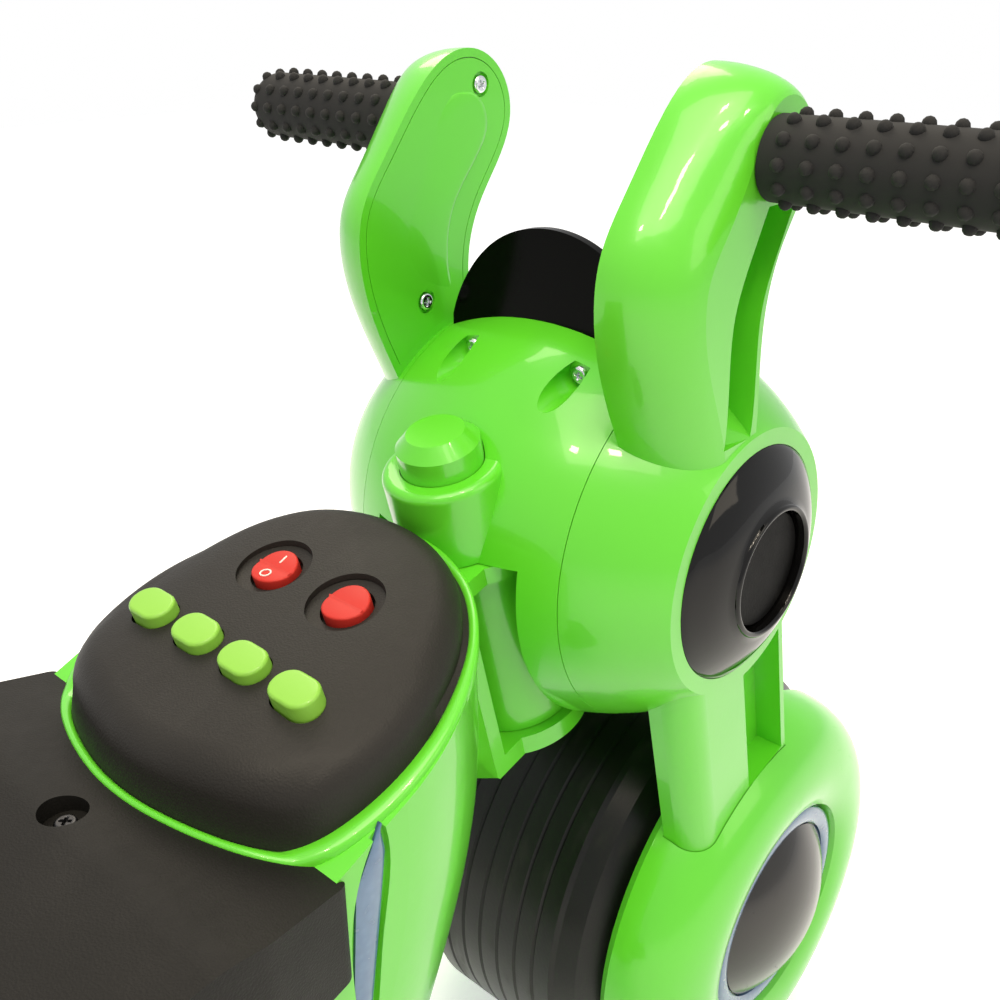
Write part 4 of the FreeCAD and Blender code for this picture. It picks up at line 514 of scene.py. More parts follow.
class Sculpt:
    """Mesh work on one piece, in metres, in the bike's own frame."""

    def __init__(self) -> None:
        """Start from nothing."""
        self.bm = bmesh.new()

    def turn(self, profile: Run, centre: Vector, steps: int) -> None:
        """Spin a run about a lateral axis.

        Args:
            profile: (y, radius) points in metres.
            centre: a point on the axis.
            steps: faces round the turn.
        """
        verts = [self.bm.verts.new((centre.x, y, centre.z + r)) for y, r in profile]
        edges = [self.bm.edges.new(pair) for pair in zip(verts, verts[1:])]
        bmesh.ops.spin(self.bm, geom=verts + edges, cent=centre, axis=(0.0, 1.0, 0.0), dvec=(0.0, 0.0, 0.0),
                       angle=2 * math.pi, steps=steps, use_merge=True, use_normal_flip=False,
                       use_duplicate=False)
        self.close()

    def round_off(self, edges: Sequence[bmesh.types.BMEdge], width: float, steps: int) -> None:
        """Round some edges.

        Args:
            edges: the sharp edges.
            width: how far the rounding reaches from them.
            steps: faces across the rounding.
        """
        bmesh.ops.bevel(self.bm, geom=edges, offset=width, affect="EDGES", segments=steps, profile=0.5,
                        material=-1)

    def grid(self, columns: int, rows: int) -> list[bmesh.types.BMVert]:
        """Lay a flat net whose corners are then moved into place.

        Args:
            columns: corners in a row.
            rows: rows of corners.

        Returns:
            The corners, row by row.
        """
        bmesh.ops.create_grid(self.bm, x_segments=columns - 1, y_segments=rows - 1, size=1.0)
        return sorted(self.bm.verts, key=lambda v: (round(v.co.y, 4), round(v.co.x, 4)))

    def hoop(self, points: Sequence[Vector]) -> list[bmesh.types.BMEdge]:
        """Lay a closed line of edges.

        Args:
            points: its corners in order.

        Returns:
            The edges.
        """
        verts = [self.bm.verts.new(p) for p in points]
        return [self.bm.edges.new(pair) for pair in zip(verts, verts[1:] + verts[:1])]

    def loft(self, rings: Sequence[Sequence[Vector]]) -> list[list[bmesh.types.BMEdge]]:
        """Span a skin from ring to ring.

        Args:
            rings: closed lines with the same number of points.

        Returns:
            The edges of each ring.
        """
        hoops = [self.hoop(ring) for ring in rings]
        for low, high in zip(hoops, hoops[1:]):
            bmesh.ops.bridge_loops(self.bm, edges=low + high)
        return hoops

    def thicken(self, step: Vector) -> None:
        """Close a sheet by a copy of it behind its face.

        Args:
            step: the way from the sheet to its back.
        """
        sheet = list(self.bm.faces)
        grown = bmesh.ops.extrude_face_region(self.bm, geom=sheet, use_keep_orig=True)["geom"]
        bmesh.ops.translate(self.bm, vec=step, verts=[v for v in grown if isinstance(v, bmesh.types.BMVert)])
        self.close()

    def absorb(self, other: "Sculpt") -> None:
        """Take over another form's mesh, which ends that form."""
        mesh = bpy.data.meshes.new("absorbed")
        other.bm.to_mesh(mesh)
        other.bm.free()
        self.bm.from_mesh(mesh)
        bpy.data.meshes.remove(mesh)

    def close(self) -> None:
        """Merge doubles and turn every face outwards."""
        bmesh.ops.remove_doubles(self.bm, verts=self.bm.verts, dist=MERGE)
        bmesh.ops.recalc_face_normals(self.bm, faces=self.bm.faces)

    def piece(self, name: str, body: str, finish: Finish, slot: str, stands_for: Sequence[str] = (),
              crease: float = 34.0) -> None:
        """Make the piece and let it ride.

        Args:
            name: the piece's name.
            body: the body it moves with.
            finish: its finish.
            slot: the record's slot; not used.
            stands_for: nodes that it shows in place of.
            crease: degrees past which an edge stays sharp.
        """
        for f in self.bm.faces:
            f.smooth = True
        for e in self.bm.edges:
            e.smooth = e.calc_face_angle(0.0) < math.radians(crease)
        mesh = bpy.data.meshes.new(name)
        self.bm.to_mesh(mesh)
        self.bm.free()
        mesh.materials.append(finish.material())
        made = add_object(name, mesh)
        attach(made, body)
        if stands_for:
            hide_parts(*stands_for)
        log.info("%s rides on %s", name, body)


@dataclass
class Mouldings:
    """The solids that stay as they are and get their finishes."""

    finishes: dict[str, Finish] = field(default_factory=lambda: SLOT_FINISHES)
    special: dict[str, Finish] = field(default_factory=lambda: {
        "seat": SEAT, "visor": VISOR, "cup_discs": DISC, "front_hub_caps": DOME, "rear_hub_caps": DOME})

    def build(self) -> None:
        """Dress every solid by its slot."""
        for part in frame["record"]["subparts"]:
            solid = frame["nodes"][part["node"]]
            finish = self.special.get(part["node"], self.finishes[part["material_slot"]])
            dressed = finish.material()
            for place in solid.material_slots:
                place.material = dressed
            if not solid.material_slots:
                solid.data.materials.append(dressed)
            log.info("%s takes %s", part["node"], dressed.name)


@dataclass
class Grips:
    """The two rubber grips with rings of round nubs."""

    axis: Vector = field(default_factory=lambda: Vector((0.2045, 0.0, 0.4535)))
    start: float = 80.3 * MM
    end: float = 170.0 * MM
    radius: float = 13.2 * MM
    bore: float = 9.05 * MM
    lip: float = 0.8 * MM
    lip_share: float = 0.3
    nose: float = 11.0 * MM
    nose_power: float = 0.75
    nose_steps: int = 12
    steps: int = 64
    rings: int = 9
    nubs: int = 11
    nub_turn_share: float = 0.25
    nub_nose_share: float = 0.94
    nub_faces: tuple[int, int] = (10, 6)
    margin: float = 7.5 * MM
    foot: float = 2.25 * MM
    rise: float = 2.3 * MM

    def profile(self) -> Run:
        """The sleeve's outline: collar, barrel and a domed nose."""
        corner = self.lip_share * self.lip
        run = [(self.start, self.bore), (self.start, self.radius - self.lip),
               (self.start + corner, self.radius - corner), (self.start + self.lip, self.radius)]
        for i in range(self.nose_steps):
            turn = math.pi / 2 * i / self.nose_steps
            across = self.radius * math.cos(turn) ** self.nose_power
            run.append((self.end - self.nose + self.nose * math.sin(turn), across))
        return run + [(self.end, 0.0)]

    def nub(self, form: Sculpt, place: Matrix) -> None:
        """Add one round nub.

        Args:
            form: the grip that it sits on.
            place: its frame, rising along Z from the grip.
        """
        around, up = self.nub_faces
        shape = place @ Matrix.Diagonal((self.foot, self.foot, self.rise, 1.0))
        bmesh.ops.create_uvsphere(form.bm, u_segments=around, v_segments=up, radius=1.0, matrix=shape)

    def build(self) -> None:
        """Make both grips."""
        pitch = (self.end - self.start - 2 * self.margin) / (self.rings - 1)
        for side in Side:
            form = Sculpt()
            form.turn([(side.value * y, r) for y, r in self.profile()], self.axis, self.steps)
            for ring in range(self.rings):
                y = self.start + self.margin + ring * pitch
                squeeze = self.radius if y < self.end - self.nose else self.radius * self.nub_nose_share
                for i in range(self.nubs):
                    turn = Matrix.Rotation(2 * math.pi * (i + self.nub_turn_share) / self.nubs, 4, "Y")
                    place = Matrix.Translation(self.axis + Vector((0, side.value * y, 0))) @ turn
                    self.nub(form, place @ Matrix.Translation((0, 0, squeeze)))
            form.piece("grip_sleeve_" + side.label, "front_assembly", RUBBER, "grip_rubber",
                       ["grip_" + side.label])


@dataclass
class EarCups:
    """The glossy round cups on the head's sides, each with a raised lip round a well."""

    seat: float = 79.0 * MM
    face: float = 81.0 * MM
    radius: float = 45.0 * MM
    brim: float = 0.5 * MM
    brim_inset: float = 0.35 * MM
    crown: float = 1.05 * MM
    lip: float = 91.6 * MM
    lip_height: float = 2.0 * MM
    lip_foot: float = 1.2 * MM
    lip_radius: float = 25.5 * MM
    well_radius: float = 22.9 * MM
    floor: float = 85.6 * MM
    cone_steps: int = 10
    lip_steps: int = 8
    steps: int = 128

    def profile(self) -> Run:
        """The cup's outline from its seat over the crowned cone and the lip to the well's floor."""
        start = self.face + self.brim
        run = [(self.seat, 0.0), (self.seat, self.radius), (self.face, self.radius),
               (start, self.radius - self.brim_inset)]
        climb = self.lip - self.lip_height - start
        narrow = self.lip_radius + self.lip_foot - self.radius
        for i in range(1, self.cone_steps + 1):
            share = i / self.cone_steps
            bulge = self.crown * math.sin(math.pi * share)
            run.append((start + climb * share + bulge, self.radius + narrow * share))
        middle = (self.lip_radius + self.well_radius) / 2
        half = (self.lip_radius - self.well_radius) / 2
        for i in range(self.lip_steps + 1):
            turn = math.pi * i / self.lip_steps
            run.append((self.lip - half + half * math.sin(turn), middle + half * math.cos(turn)))
        return run + [(self.floor, self.well_radius), (self.floor, 0.0)]

    def build(self) -> None:
        """Make both cups."""
        for side in Side:
            form = Sculpt()
            form.turn([(side.value * y, r) for y, r in self.profile()], HEAD, self.steps)
            form.piece("ear_cup_dish_" + side.label, "front_assembly", BLACK, "black_gloss",
                       ["ear_cup_" + side.label])


@dataclass
class LightRings:
    """The light rings round the hub domes, with a rounded face."""

    inner: float = 43.5 * MM
    outer: float = 51.6 * MM
    proud: float = 4.5 * MM
    face: float = 2.2 * MM
    face_power: float = 0.7
    face_steps: int = 10
    steps: int = 128
    front_floor: float = 84.0 * MM
    rear_floor: float = 88.0 * MM

    def profile(self, floor: float) -> Run:
        """One ring's closed outline.

        Args:
            floor: distance of its seat from the mid-plane.

        Returns:
            (y, radius) points, the first repeated at the end.
        """
        middle = (self.inner + self.outer) / 2
        half = (self.outer - self.inner) / 2
        shoulder = floor + self.proud - self.face
        run = [(floor, self.inner)]
        for i in range(self.face_steps + 1):
            turn = math.pi * i / self.face_steps
            bulge = self.face * math.sin(turn) ** self.face_power
            run.append((shoulder + bulge, middle - half * math.cos(turn)))
        return run + [(floor, self.outer), (floor, self.inner)]

    def build(self) -> None:
        """Make the rings of both wheels."""
        for name, body, centre, floor in (("front", "front_assembly", FRONT_AXLE, self.front_floor),
                                          ("rear", "frame", REAR_AXLE, self.rear_floor)):
            form = Sculpt()
            for side in Side:
                form.turn([(side.value * y, r) for y, r in self.profile(floor)], centre, self.steps)
            form.piece(name + "_light_guides", body, BLUE, "blue_light", [name + "_led_rings"])


@dataclass
class Rockers:
    """The two round red rockers and the floors of the wells that they stand in."""

    radius: float = 7.9 * MM
    low: float = -9.0 * MM
    valley: float = -1.1 * MM
    sharp: float = 1.0
    edge: float = 0.7 * MM
    edge_steps: int = 4
    steps: int = 64
    floor: float = -3.0 * MM
    floor_depth: float = 3.0 * MM
    floor_inner: float = 8.9 * MM
    floor_outer: float = 13.6 * MM
    floor_rise: float = 0.9 * MM
    floor_lip: float = 1.0 * MM
    floor_lip_rise: float = 0.2 * MM

    def cap(self, side: Side, body: str, place: Matrix) -> None:
        """Make one rocker: a drum whose top rises from a valley to both ends.

        Args:
            side: which of the two it is.
            body: the body it rocks with, and the node that it shows in place of.
            place: its frame on the dash, with Z out of the top.
        """
        form = Sculpt()
        middle = Matrix.Translation((0, 0, (self.valley + self.low) / 2))
        bmesh.ops.create_cone(form.bm, cap_ends=True, segments=self.steps, radius1=self.radius,
                              radius2=self.radius, depth=self.valley - self.low, matrix=middle)
        drum = [*form.bm.verts, *form.bm.edges, *form.bm.faces]
        bmesh.ops.bisect_plane(form.bm, geom=drum, dist=ON_PLANE, plane_co=(0, 0, 0), plane_no=(1, 0, 0))
        top = [v for v in form.bm.verts if v.co.z > self.low / 2]
        for v in top:
            v.co.z += abs(v.co.x) * math.tan(ROCKER_TILT)
        rim = [e for e in form.bm.edges
               if all(v in top for v in e.verts) and e.calc_face_angle(0.0) > self.sharp]
        form.round_off(rim, self.edge, self.edge_steps)
        bmesh.ops.transform(form.bm, matrix=place, verts=form.bm.verts)
        form.close()
        form.piece("rocker_cap_" + side.label, body, RED, "red_rocker", [body])

    def floor_rings(self, place: Matrix) -> list[list[Vector]]:
        """Lines round one well's floor.

        Args:
            place: the rocker's frame on the dash.

        Returns:
            Closed lines, the first repeated at the end.
        """
        inner, outer, foot = self.floor_inner, self.floor_outer, self.floor - self.floor_depth
        profile = ((inner, foot), (inner, self.floor),
                   (inner + self.floor_lip, self.floor + self.floor_lip_rise),
                   (outer, self.floor + self.floor_rise), (outer, foot), (inner, foot))
        return [[place @ Vector((x, y, level)) for x, y in circle(radius, self.steps)]
                for radius, level in profile]

    def build(self) -> None:
        """Make each rocker on its own body, then the floors."""
        floors = Sculpt()
        for side, body in ((Side.LEFT, "power_rocker"), (Side.RIGHT, "direction_rocker")):
            place = DASH_TOP @ Matrix.Translation((0, side.value * ROCKER_REACH, 0))
            self.cap(side, body, place)
            floors.loft(self.floor_rings(place))
        floors.close()
        floors.piece("rocker_well_floors", "frame", DARK, "dark_matte")


@dataclass
class RockerMarks:
    """The on and off marks of the left rocker: a bar and a ring."""

    offset: float = 3.9 * MM
    sink: float = -0.6 * MM
    bar: tuple[float, float, float] = (3.4 * MM, 0.7 * MM, 0.5 * MM)
    bar_edge: float = 0.1 * MM
    bar_edge_steps: int = 2
    ring_radius: float = 1.5 * MM
    ring_growth: float = 1.35
    ring_height: float = 0.4 * MM
    ring_steps: int = 28

    def place(self, along: float) -> Matrix:
        """Frame of a mark on one half of the rocker's face.

        Args:
            along: its side of the pivot, plus to the front.

        Returns:
            The frame, with Z out of the face.
        """
        lean = Matrix.Rotation(-math.copysign(ROCKER_TILT, along), 4, "Y")
        return DASH_TOP @ Matrix.Translation((along * self.offset, ROCKER_REACH, self.sink)) @ lean

    def build(self) -> None:
        """Make the bar and the ring."""
        form = Sculpt()
        shape = self.place(1.0) @ Matrix.Diagonal((*self.bar, 1.0))
        corners = bmesh.ops.create_cube(form.bm, size=1.0, matrix=shape)["verts"]
        form.round_off(list({e for v in corners for e in v.link_edges}), self.bar_edge, self.bar_edge_steps)
        rim = bmesh.ops.create_circle(form.bm, cap_ends=False, segments=self.ring_steps,
                                      radius=self.ring_radius, matrix=self.place(-1.0))["verts"]
        edges = list({e for v in rim for e in v.link_edges})
        hoop = bmesh.ops.extrude_edge_only(form.bm, edges=edges)["geom"]
        out = [v for v in hoop if isinstance(v, bmesh.types.BMVert)]
        bmesh.ops.scale(form.bm, vec=[self.ring_growth] * 3, space=self.place(-1.0).inverted(), verts=out)
        ring = [f for f in form.bm.faces if f.calc_center_median().x < DASH_TOP.translation.x]
        bmesh.ops.solidify(form.bm, geom=ring, thickness=self.ring_height)
        form.close()
        form.piece("rocker_marks", "power_rocker", WHITE, "red_rocker")


@dataclass
class EarPads:
    """The raised field on each ear's inner panel, which fades out to the rear."""

    depth: float = 84.0 * MM
    rise: float = 172.0 * MM
    panel: float = 53.0 * MM
    height: float = 0.9 * MM
    wall: float = 0.9 * MM
    brink_share: float = 0.05
    skirt_share: float = 0.045
    sunk_share: float = 0.25
    tail_share: float = 0.06
    end_share: float = 0.2
    brow_rows: int = 6
    rear_rows: int = 10
    fine: int = 5
    crease: float = 50.0
    brow_shares: Run = ((-0.188, 0.899), (-0.111, 0.905), (-0.024, 0.897), (0.030, 0.872), (0.050, 0.837),
                        (0.031, 0.801), (-0.045, 0.752), (-0.12, 0.709), (-0.179, 0.665), (-0.214, 0.613),
                        (-0.223, 0.559), (-0.212, 0.514), (-0.185, 0.469))
    rear_shares: Run = ((-0.222, 0.882), (-0.256, 0.868), (-0.296, 0.842), (-0.331, 0.818), (-0.367, 0.788),
                        (-0.404, 0.756), (-0.436, 0.722), (-0.463, 0.689), (-0.482, 0.656), (-0.499, 0.624),
                        (-0.506, 0.59), (-0.506, 0.556), (-0.49, 0.50))

    def point(self, share: tuple[float, float]) -> Vector:
        """A point of the ear's side view, on the mid-plane."""
        return HEAD + Vector((share[0] * self.depth, 0, share[1] * self.rise))

    def lift(self, share: float) -> float:
        """Height of the field from its brow (zero) to its rear (one), as a share of its full height."""
        if share < self.brink_share:
            climb = (share + self.skirt_share) / (self.brink_share + self.skirt_share)
            return (1 + self.sunk_share) * math.sin(math.pi / 2 * climb) - self.sunk_share
        fade = (share - self.brink_share) / (1 - self.brink_share)
        return (1 + self.tail_share) / 2 * (1 + math.cos(math.pi * fade)) - self.tail_share

    def build(self) -> None:
        """Draw each field from its brow line to its rear in rows."""
        brow = smooth([self.point(s) for s in self.brow_shares], self.fine)
        rear = smooth([self.point(s) for s in self.rear_shares], self.fine)
        last = len(brow) - 1
        near = [min(1.0, min(i, last - i) / (last * self.end_share)) for i in range(last + 1)]
        ends = [math.sin(math.pi / 2 * share) for share in near]
        skirt, brink = self.skirt_share, self.brink_share
        rows = [-skirt + (brink + skirt) * i / self.brow_rows for i in range(self.brow_rows)]
        rows += [brink + (1 - brink) * i / self.rear_rows for i in range(self.rear_rows + 1)]
        for side in Side:
            form = Sculpt()
            for n, v in enumerate(form.grid(len(brow), len(rows))):
                row, i = divmod(n, len(brow))
                up = (self.lift(rows[row]) + self.sunk_share) * ends[i] - self.sunk_share
                v.co = brow[i].lerp(rear[i], rows[row])
                v.co.y = side.value * (self.panel - self.height * up)
            form.thicken(Vector((0, side.value * self.wall, 0)))
            form.piece("ear_pad_" + side.label, "front_assembly", LIME, "lime_gloss", crease=self.crease)


@dataclass
class LightStrips:
    """The blade-shaped light guides sunk in the body's sides."""

    front: float = 25.0 * MM
    top: float = 299.0 * MM
    width: float = 15.0 * MM
    length: float = 88.0 * MM
    floor: float = 71.0 * MM
    skin: float = 71.9 * MM
    crown: float = 0.5 * MM
    margin: float = 0.9 * MM
    least_width: float = 0.225 * MM
    wall: float = 0.2 * MM
    start_share: float = 0.02
    run_share: float = 0.95
    front_shares: Run = ((0.87, 0.0), (1.0, 0.13), (0.73, 0.45), (0.35, 0.85), (0.0, 1.0))
    rear_shares: Run = ((0.87, 0.0), (0.15, 0.22), (-0.05, 0.6), (0.0, 1.0))
    across_shares: tuple[float, ...] = (-1.0, -1.0, -0.9, -0.6, -0.2, 0.2, 0.6, 0.9, 1.0, 1.0)
    rows: int = 48

    def along(self, shares: Run, down: float) -> float:
        """Place of an edge along the bike, on straight runs between its points.

        Args:
            shares: the edge's points, as shares of the strip's width and length.
            down: how far down the strip, as a share of its length.

        Returns:
            The place as a share of the strip's width.
        """
        for (a, low), (b, high) in zip(shares, shares[1:]):
            if down <= high:
                return a + (b - a) * (down - low) / (high - low)
        return shares[-1][0]

    def point(self, down: float, across: float, sunk: bool) -> Vector:
        """A point of the left strip's face.

        Args:
            down: how far down the strip, as a share of its length.
            across: from the rear edge (minus one) to the front edge (one).
            sunk: whether it lies on the slot's floor.

        Returns:
            The point.
        """
        rear = self.along(self.rear_shares, down) * self.width + self.margin
        front = max(rear + self.least_width, self.along(self.front_shares, down) * self.width - self.margin)
        out = self.floor if sunk else self.skin + self.crown * (1 - across * across)
        return Vector((self.front + (rear + front) / 2 + across * (front - rear) / 2, out,
                       self.top - down * self.length))

    def build(self) -> None:
        """Make both strips as crowned blades."""
        columns = len(self.across_shares)
        form = Sculpt()
        for side in Side:
            part = Sculpt()
            for n, v in enumerate(part.grid(columns, self.rows + 1)):
                row, i = divmod(n, columns)
                down = self.start_share + self.run_share * row / self.rows
                v.co = self.point(down, self.across_shares[i], i in (0, columns - 1))
                v.co.y *= side.value
            part.thicken(Vector((0, -side.value * self.wall, 0)))
            form.absorb(part)
        form.piece("light_strip_guides", "frame", BLUE, "blue_light", ["light_strips"])


@dataclass
class DashSkin:
    """The dash's skin, with a bowed rear edge and a crowned top, and the lime bead round it.

    The plan points of the left halves are in millimetres. The bead's section goes by shares of the way from
    the dash's edge to the bead's outer line, and by rises over the edge in millimetres.
    """

    edge_points: Run = ((2.0, 0.0), (2.9, 13.0), (6.0, 28.0), (10.4, 41.5), (15.5, 51.0), (21.5, 57.8),
                        (29.0, 62.3), (39.0, 65.2), (50.0, 66.4), (61.0, 65.8), (72.0, 63.2), (84.0, 58.4),
                        (95.0, 51.6), (105.0, 41.5), (112.0, 30.0), (116.7, 15.5), (118.2, 0.0))
    bead_points: Run = ((-0.6, 0.0), (0.3, 13.4), (3.4, 29.0), (7.8, 43.0), (12.6, 53.3), (18.4, 61.6),
                        (26.2, 67.3), (37.0, 70.6), (49.5, 71.9), (61.5, 70.9), (73.0, 67.9), (85.8, 61.9),
                        (97.2, 53.8), (107.4, 43.0), (114.6, 31.0), (119.6, 16.0), (121.2, 0.0))
    bead_section: Run = ((-0.1, -3.0), (-0.05, 0.2), (0.2, 0.75), (0.5, 0.95), (0.8, 0.6), (0.97, -0.2),
                         (1.0, -3.0), (-0.1, -3.0))
    bead_crease: float = 60.0
    fine: int = 4
    rim_height: float = 289.3 * MM
    rim_place: float = 17.0 * MM
    rim_slope: float = 0.384
    seat_height: float = 292.5 * MM
    seat_slope: float = -0.16
    skirt: float = 6.0 * MM
    draft: float = 2.0 * MM
    shoulder: float = 10.0 * MM
    shoulder_steps: int = 8
    crown: float = 5.0 * MM
    crown_span: float = 55.0 * MM
    crown_power: int = 4
    slice_width: float = 4.0 * MM
    slice_shift: float = 0.37
    slices_each_way: int = 15
    well: float = 13.0 * MM
    well_steps: int = 64
    slot: tuple[float, float] = (6.5 * MM, 9.25 * MM)
    slot_steps: int = 32
    wall: float = 2.0 * MM

    def loop(self, half: Run) -> list[Vector]:
        """A closed plan line from the points of its left half."""
        left = [Vector((x * MM, y * MM, 0.0)) for x, y in half]
        right = [Vector((p.x, -p.y, 0.0)) for p in left[-2:0:-1]]
        return smooth(left + right, self.fine, closed=True)

    def brim(self, p: Vector) -> float:
        """Height of the dash's edge: the rim's slope in front, the seat's behind."""
        return max(self.rim_height + self.rim_slope * (p.x - self.rim_place),
                   self.seat_height + self.seat_slope * p.x)

    def inset(self, loop: Sequence[Vector], step: float) -> list[Vector]:
        """Move a closed plan line inwards.

        Args:
            loop: its points.
            step: how far.

        Returns:
            The moved points.
        """
        out = []
        for before, here, after in zip([loop[-1], *loop], loop, [*loop[1:], loop[0]]):
            run = (after - before).normalized()
            out.append(here + Vector((run.y, -run.x, 0)) * step)
        return out

    def top(self, p: Vector) -> float:
        """Height of the flat top at a place in plan."""
        base = DASH_TOP.translation
        return base.z + math.tan(DASH_SLOPE) * (p.x - base.x)

    def holes(self) -> list[list[Vector]]:
        """Outlines of the switch wells and of the button slots on the flat top."""
        out = []
        for side in Side:
            middle = side.value * ROCKER_REACH
            out.append([DASH_TOP @ Vector((x, middle + y, 0)) for x, y in circle(self.well, self.well_steps)])
        half, long = self.slot
        for x, y in SongButtons().places():
            ends = []
            for i in range(self.slot_steps):
                turn = 2 * math.pi * (i + 0.5) / self.slot_steps
                side = half * math.sin(turn) + math.copysign(long - half, math.sin(turn))
                ends.append(DASH_TOP @ Vector((x + half * math.cos(turn), y + side, 0)))
            out.append(ends)
        return out

    def rings(self) -> list[list[Vector]]:
        """Lines round the dash, from its skirt over the shoulder to the flat top's border."""
        base = self.loop(self.edge_points)
        out = [[Vector((p.x, p.y, self.brim(p) - drop)) for p in base] for drop in (self.skirt, 0.0)]
        for i in range(self.shoulder_steps + 1):
            turn = math.pi / 2 * i / self.shoulder_steps
            loop = self.inset(base, self.draft + self.shoulder * (1 - math.cos(turn)))
            out.append([Vector((p.x, p.y, self.top(p) - self.shoulder * (1 - math.sin(turn)))) for p in loop])
        return out

    def skin(self) -> None:
        """Make the dash's skin: shoulder and holed flat top, sliced so that the top can be crowned."""
        form = Sculpt()
        hoops = form.loft(self.rings())
        still = {v for hoop in hoops[:2] for e in hoop for v in e.verts}
        edges = hoops[-1] + [e for hole in self.holes() for e in form.hoop(hole)]
        made = bmesh.ops.triangle_fill(form.bm, use_beauty=True, use_dissolve=False, edges=edges)["geom"]
        flat = [f for f in made if isinstance(f, bmesh.types.BMFace)]
        for n in range(-self.slices_each_way, self.slices_each_way + 1):
            edges = {e for f in flat for e in f.edges}
            verts = {v for f in flat for v in f.verts}
            at = (n + self.slice_shift) * self.slice_width
            cut = bmesh.ops.bisect_plane(form.bm, geom=[*verts, *edges, *flat], dist=ON_PLANE,
                                         plane_co=(0, at, 0), plane_no=(0, 1, 0))
            flat = [f for f in cut["geom"] if isinstance(f, bmesh.types.BMFace)]
        for v in form.bm.verts:
            if v not in still:
                v.co.z -= self.crown * min(1.0, abs(v.co.y) / self.crown_span) ** self.crown_power
        form.thicken(Vector((0, 0, -self.wall)))
        form.piece("dash_skin", "frame", DARK, "dark_matte", ["dash_cover"])

    def bead(self) -> None:
        """Make the lime bead between the dash and the body."""
        inner, outer = self.loop(self.edge_points), self.loop(self.bead_points)
        rings = []
        for share, rise in self.bead_section:
            spots = [a.lerp(b, share) for a, b in zip(inner, outer)]
            rings.append([Vector((p.x, p.y, self.brim(p) + rise * MM)) for p in spots])
        form = Sculpt()
        form.loft(rings)
        form.close()
        form.piece("dash_bead", "frame", LIME, "lime_gloss", crease=self.bead_crease)

    def build(self) -> None:
        """Make skin and bead."""
        self.skin()
        self.bead()


@dataclass
class SongButtons:
    """The four song buttons with their pillowed caps."""

    setback: float = 35.613 * MM
    pitch: float = 23.8 * MM
    long: float = 12.0 * MM
    wide: float = 17.5 * MM
    low: float = -9.0 * MM
    high: float = 4.0 * MM
    corner: float = 5.9 * MM
    corner_steps: int = 8
    edge: float = 1.2 * MM
    edge_steps: int = 6
    level: float = 0.01 * MM
    count: int = 4

    def places(self) -> list[tuple[float, float]]:
        """Middles of the buttons on the dash's top."""
        return [(-self.setback, (i - (self.count - 1) / 2) * self.pitch) for i in range(self.count)]

    def cap(self, place: Matrix) -> Sculpt:
        """Shape an oblong cap with round corners and a round upper edge.

        Args:
            place: its frame, with Z up through the cap.

        Returns:
            The cap's form.
        """
        form = Sculpt()
        middle = place @ Matrix.Translation((0, 0, (self.low + self.high) / 2))
        shape = middle @ Matrix.Diagonal((self.long, self.wide, self.high - self.low, 1.0))
        made = bmesh.ops.create_cube(form.bm, size=1.0, matrix=shape)["verts"]
        back = place.inverted()
        edges = {e for v in made for e in v.link_edges}
        posts = [e for e in edges if abs((back @ e.verts[0].co).z - (back @ e.verts[1].co).z) > self.edge]
        form.round_off(posts, self.corner, self.corner_steps)
        brim = [e for e in form.bm.edges
                if all(abs((back @ v.co).z - self.high) < self.level for v in e.verts)]
        form.round_off(brim, self.edge, self.edge_steps)
        form.close()
        return form

    def build(self) -> None:
        """Make each button on its own body."""
        for i, (x, y) in enumerate(self.places(), start=1):
            body = "song_button_%d" % i
            form = self.cap(DASH_TOP @ Matrix.Translation((x, y, 0)))
            # Each cap takes the paler lime, which is painted light.
            form.piece("song_cap_%d" % i, body, LIT_BUTTON, "lime_button", [body])


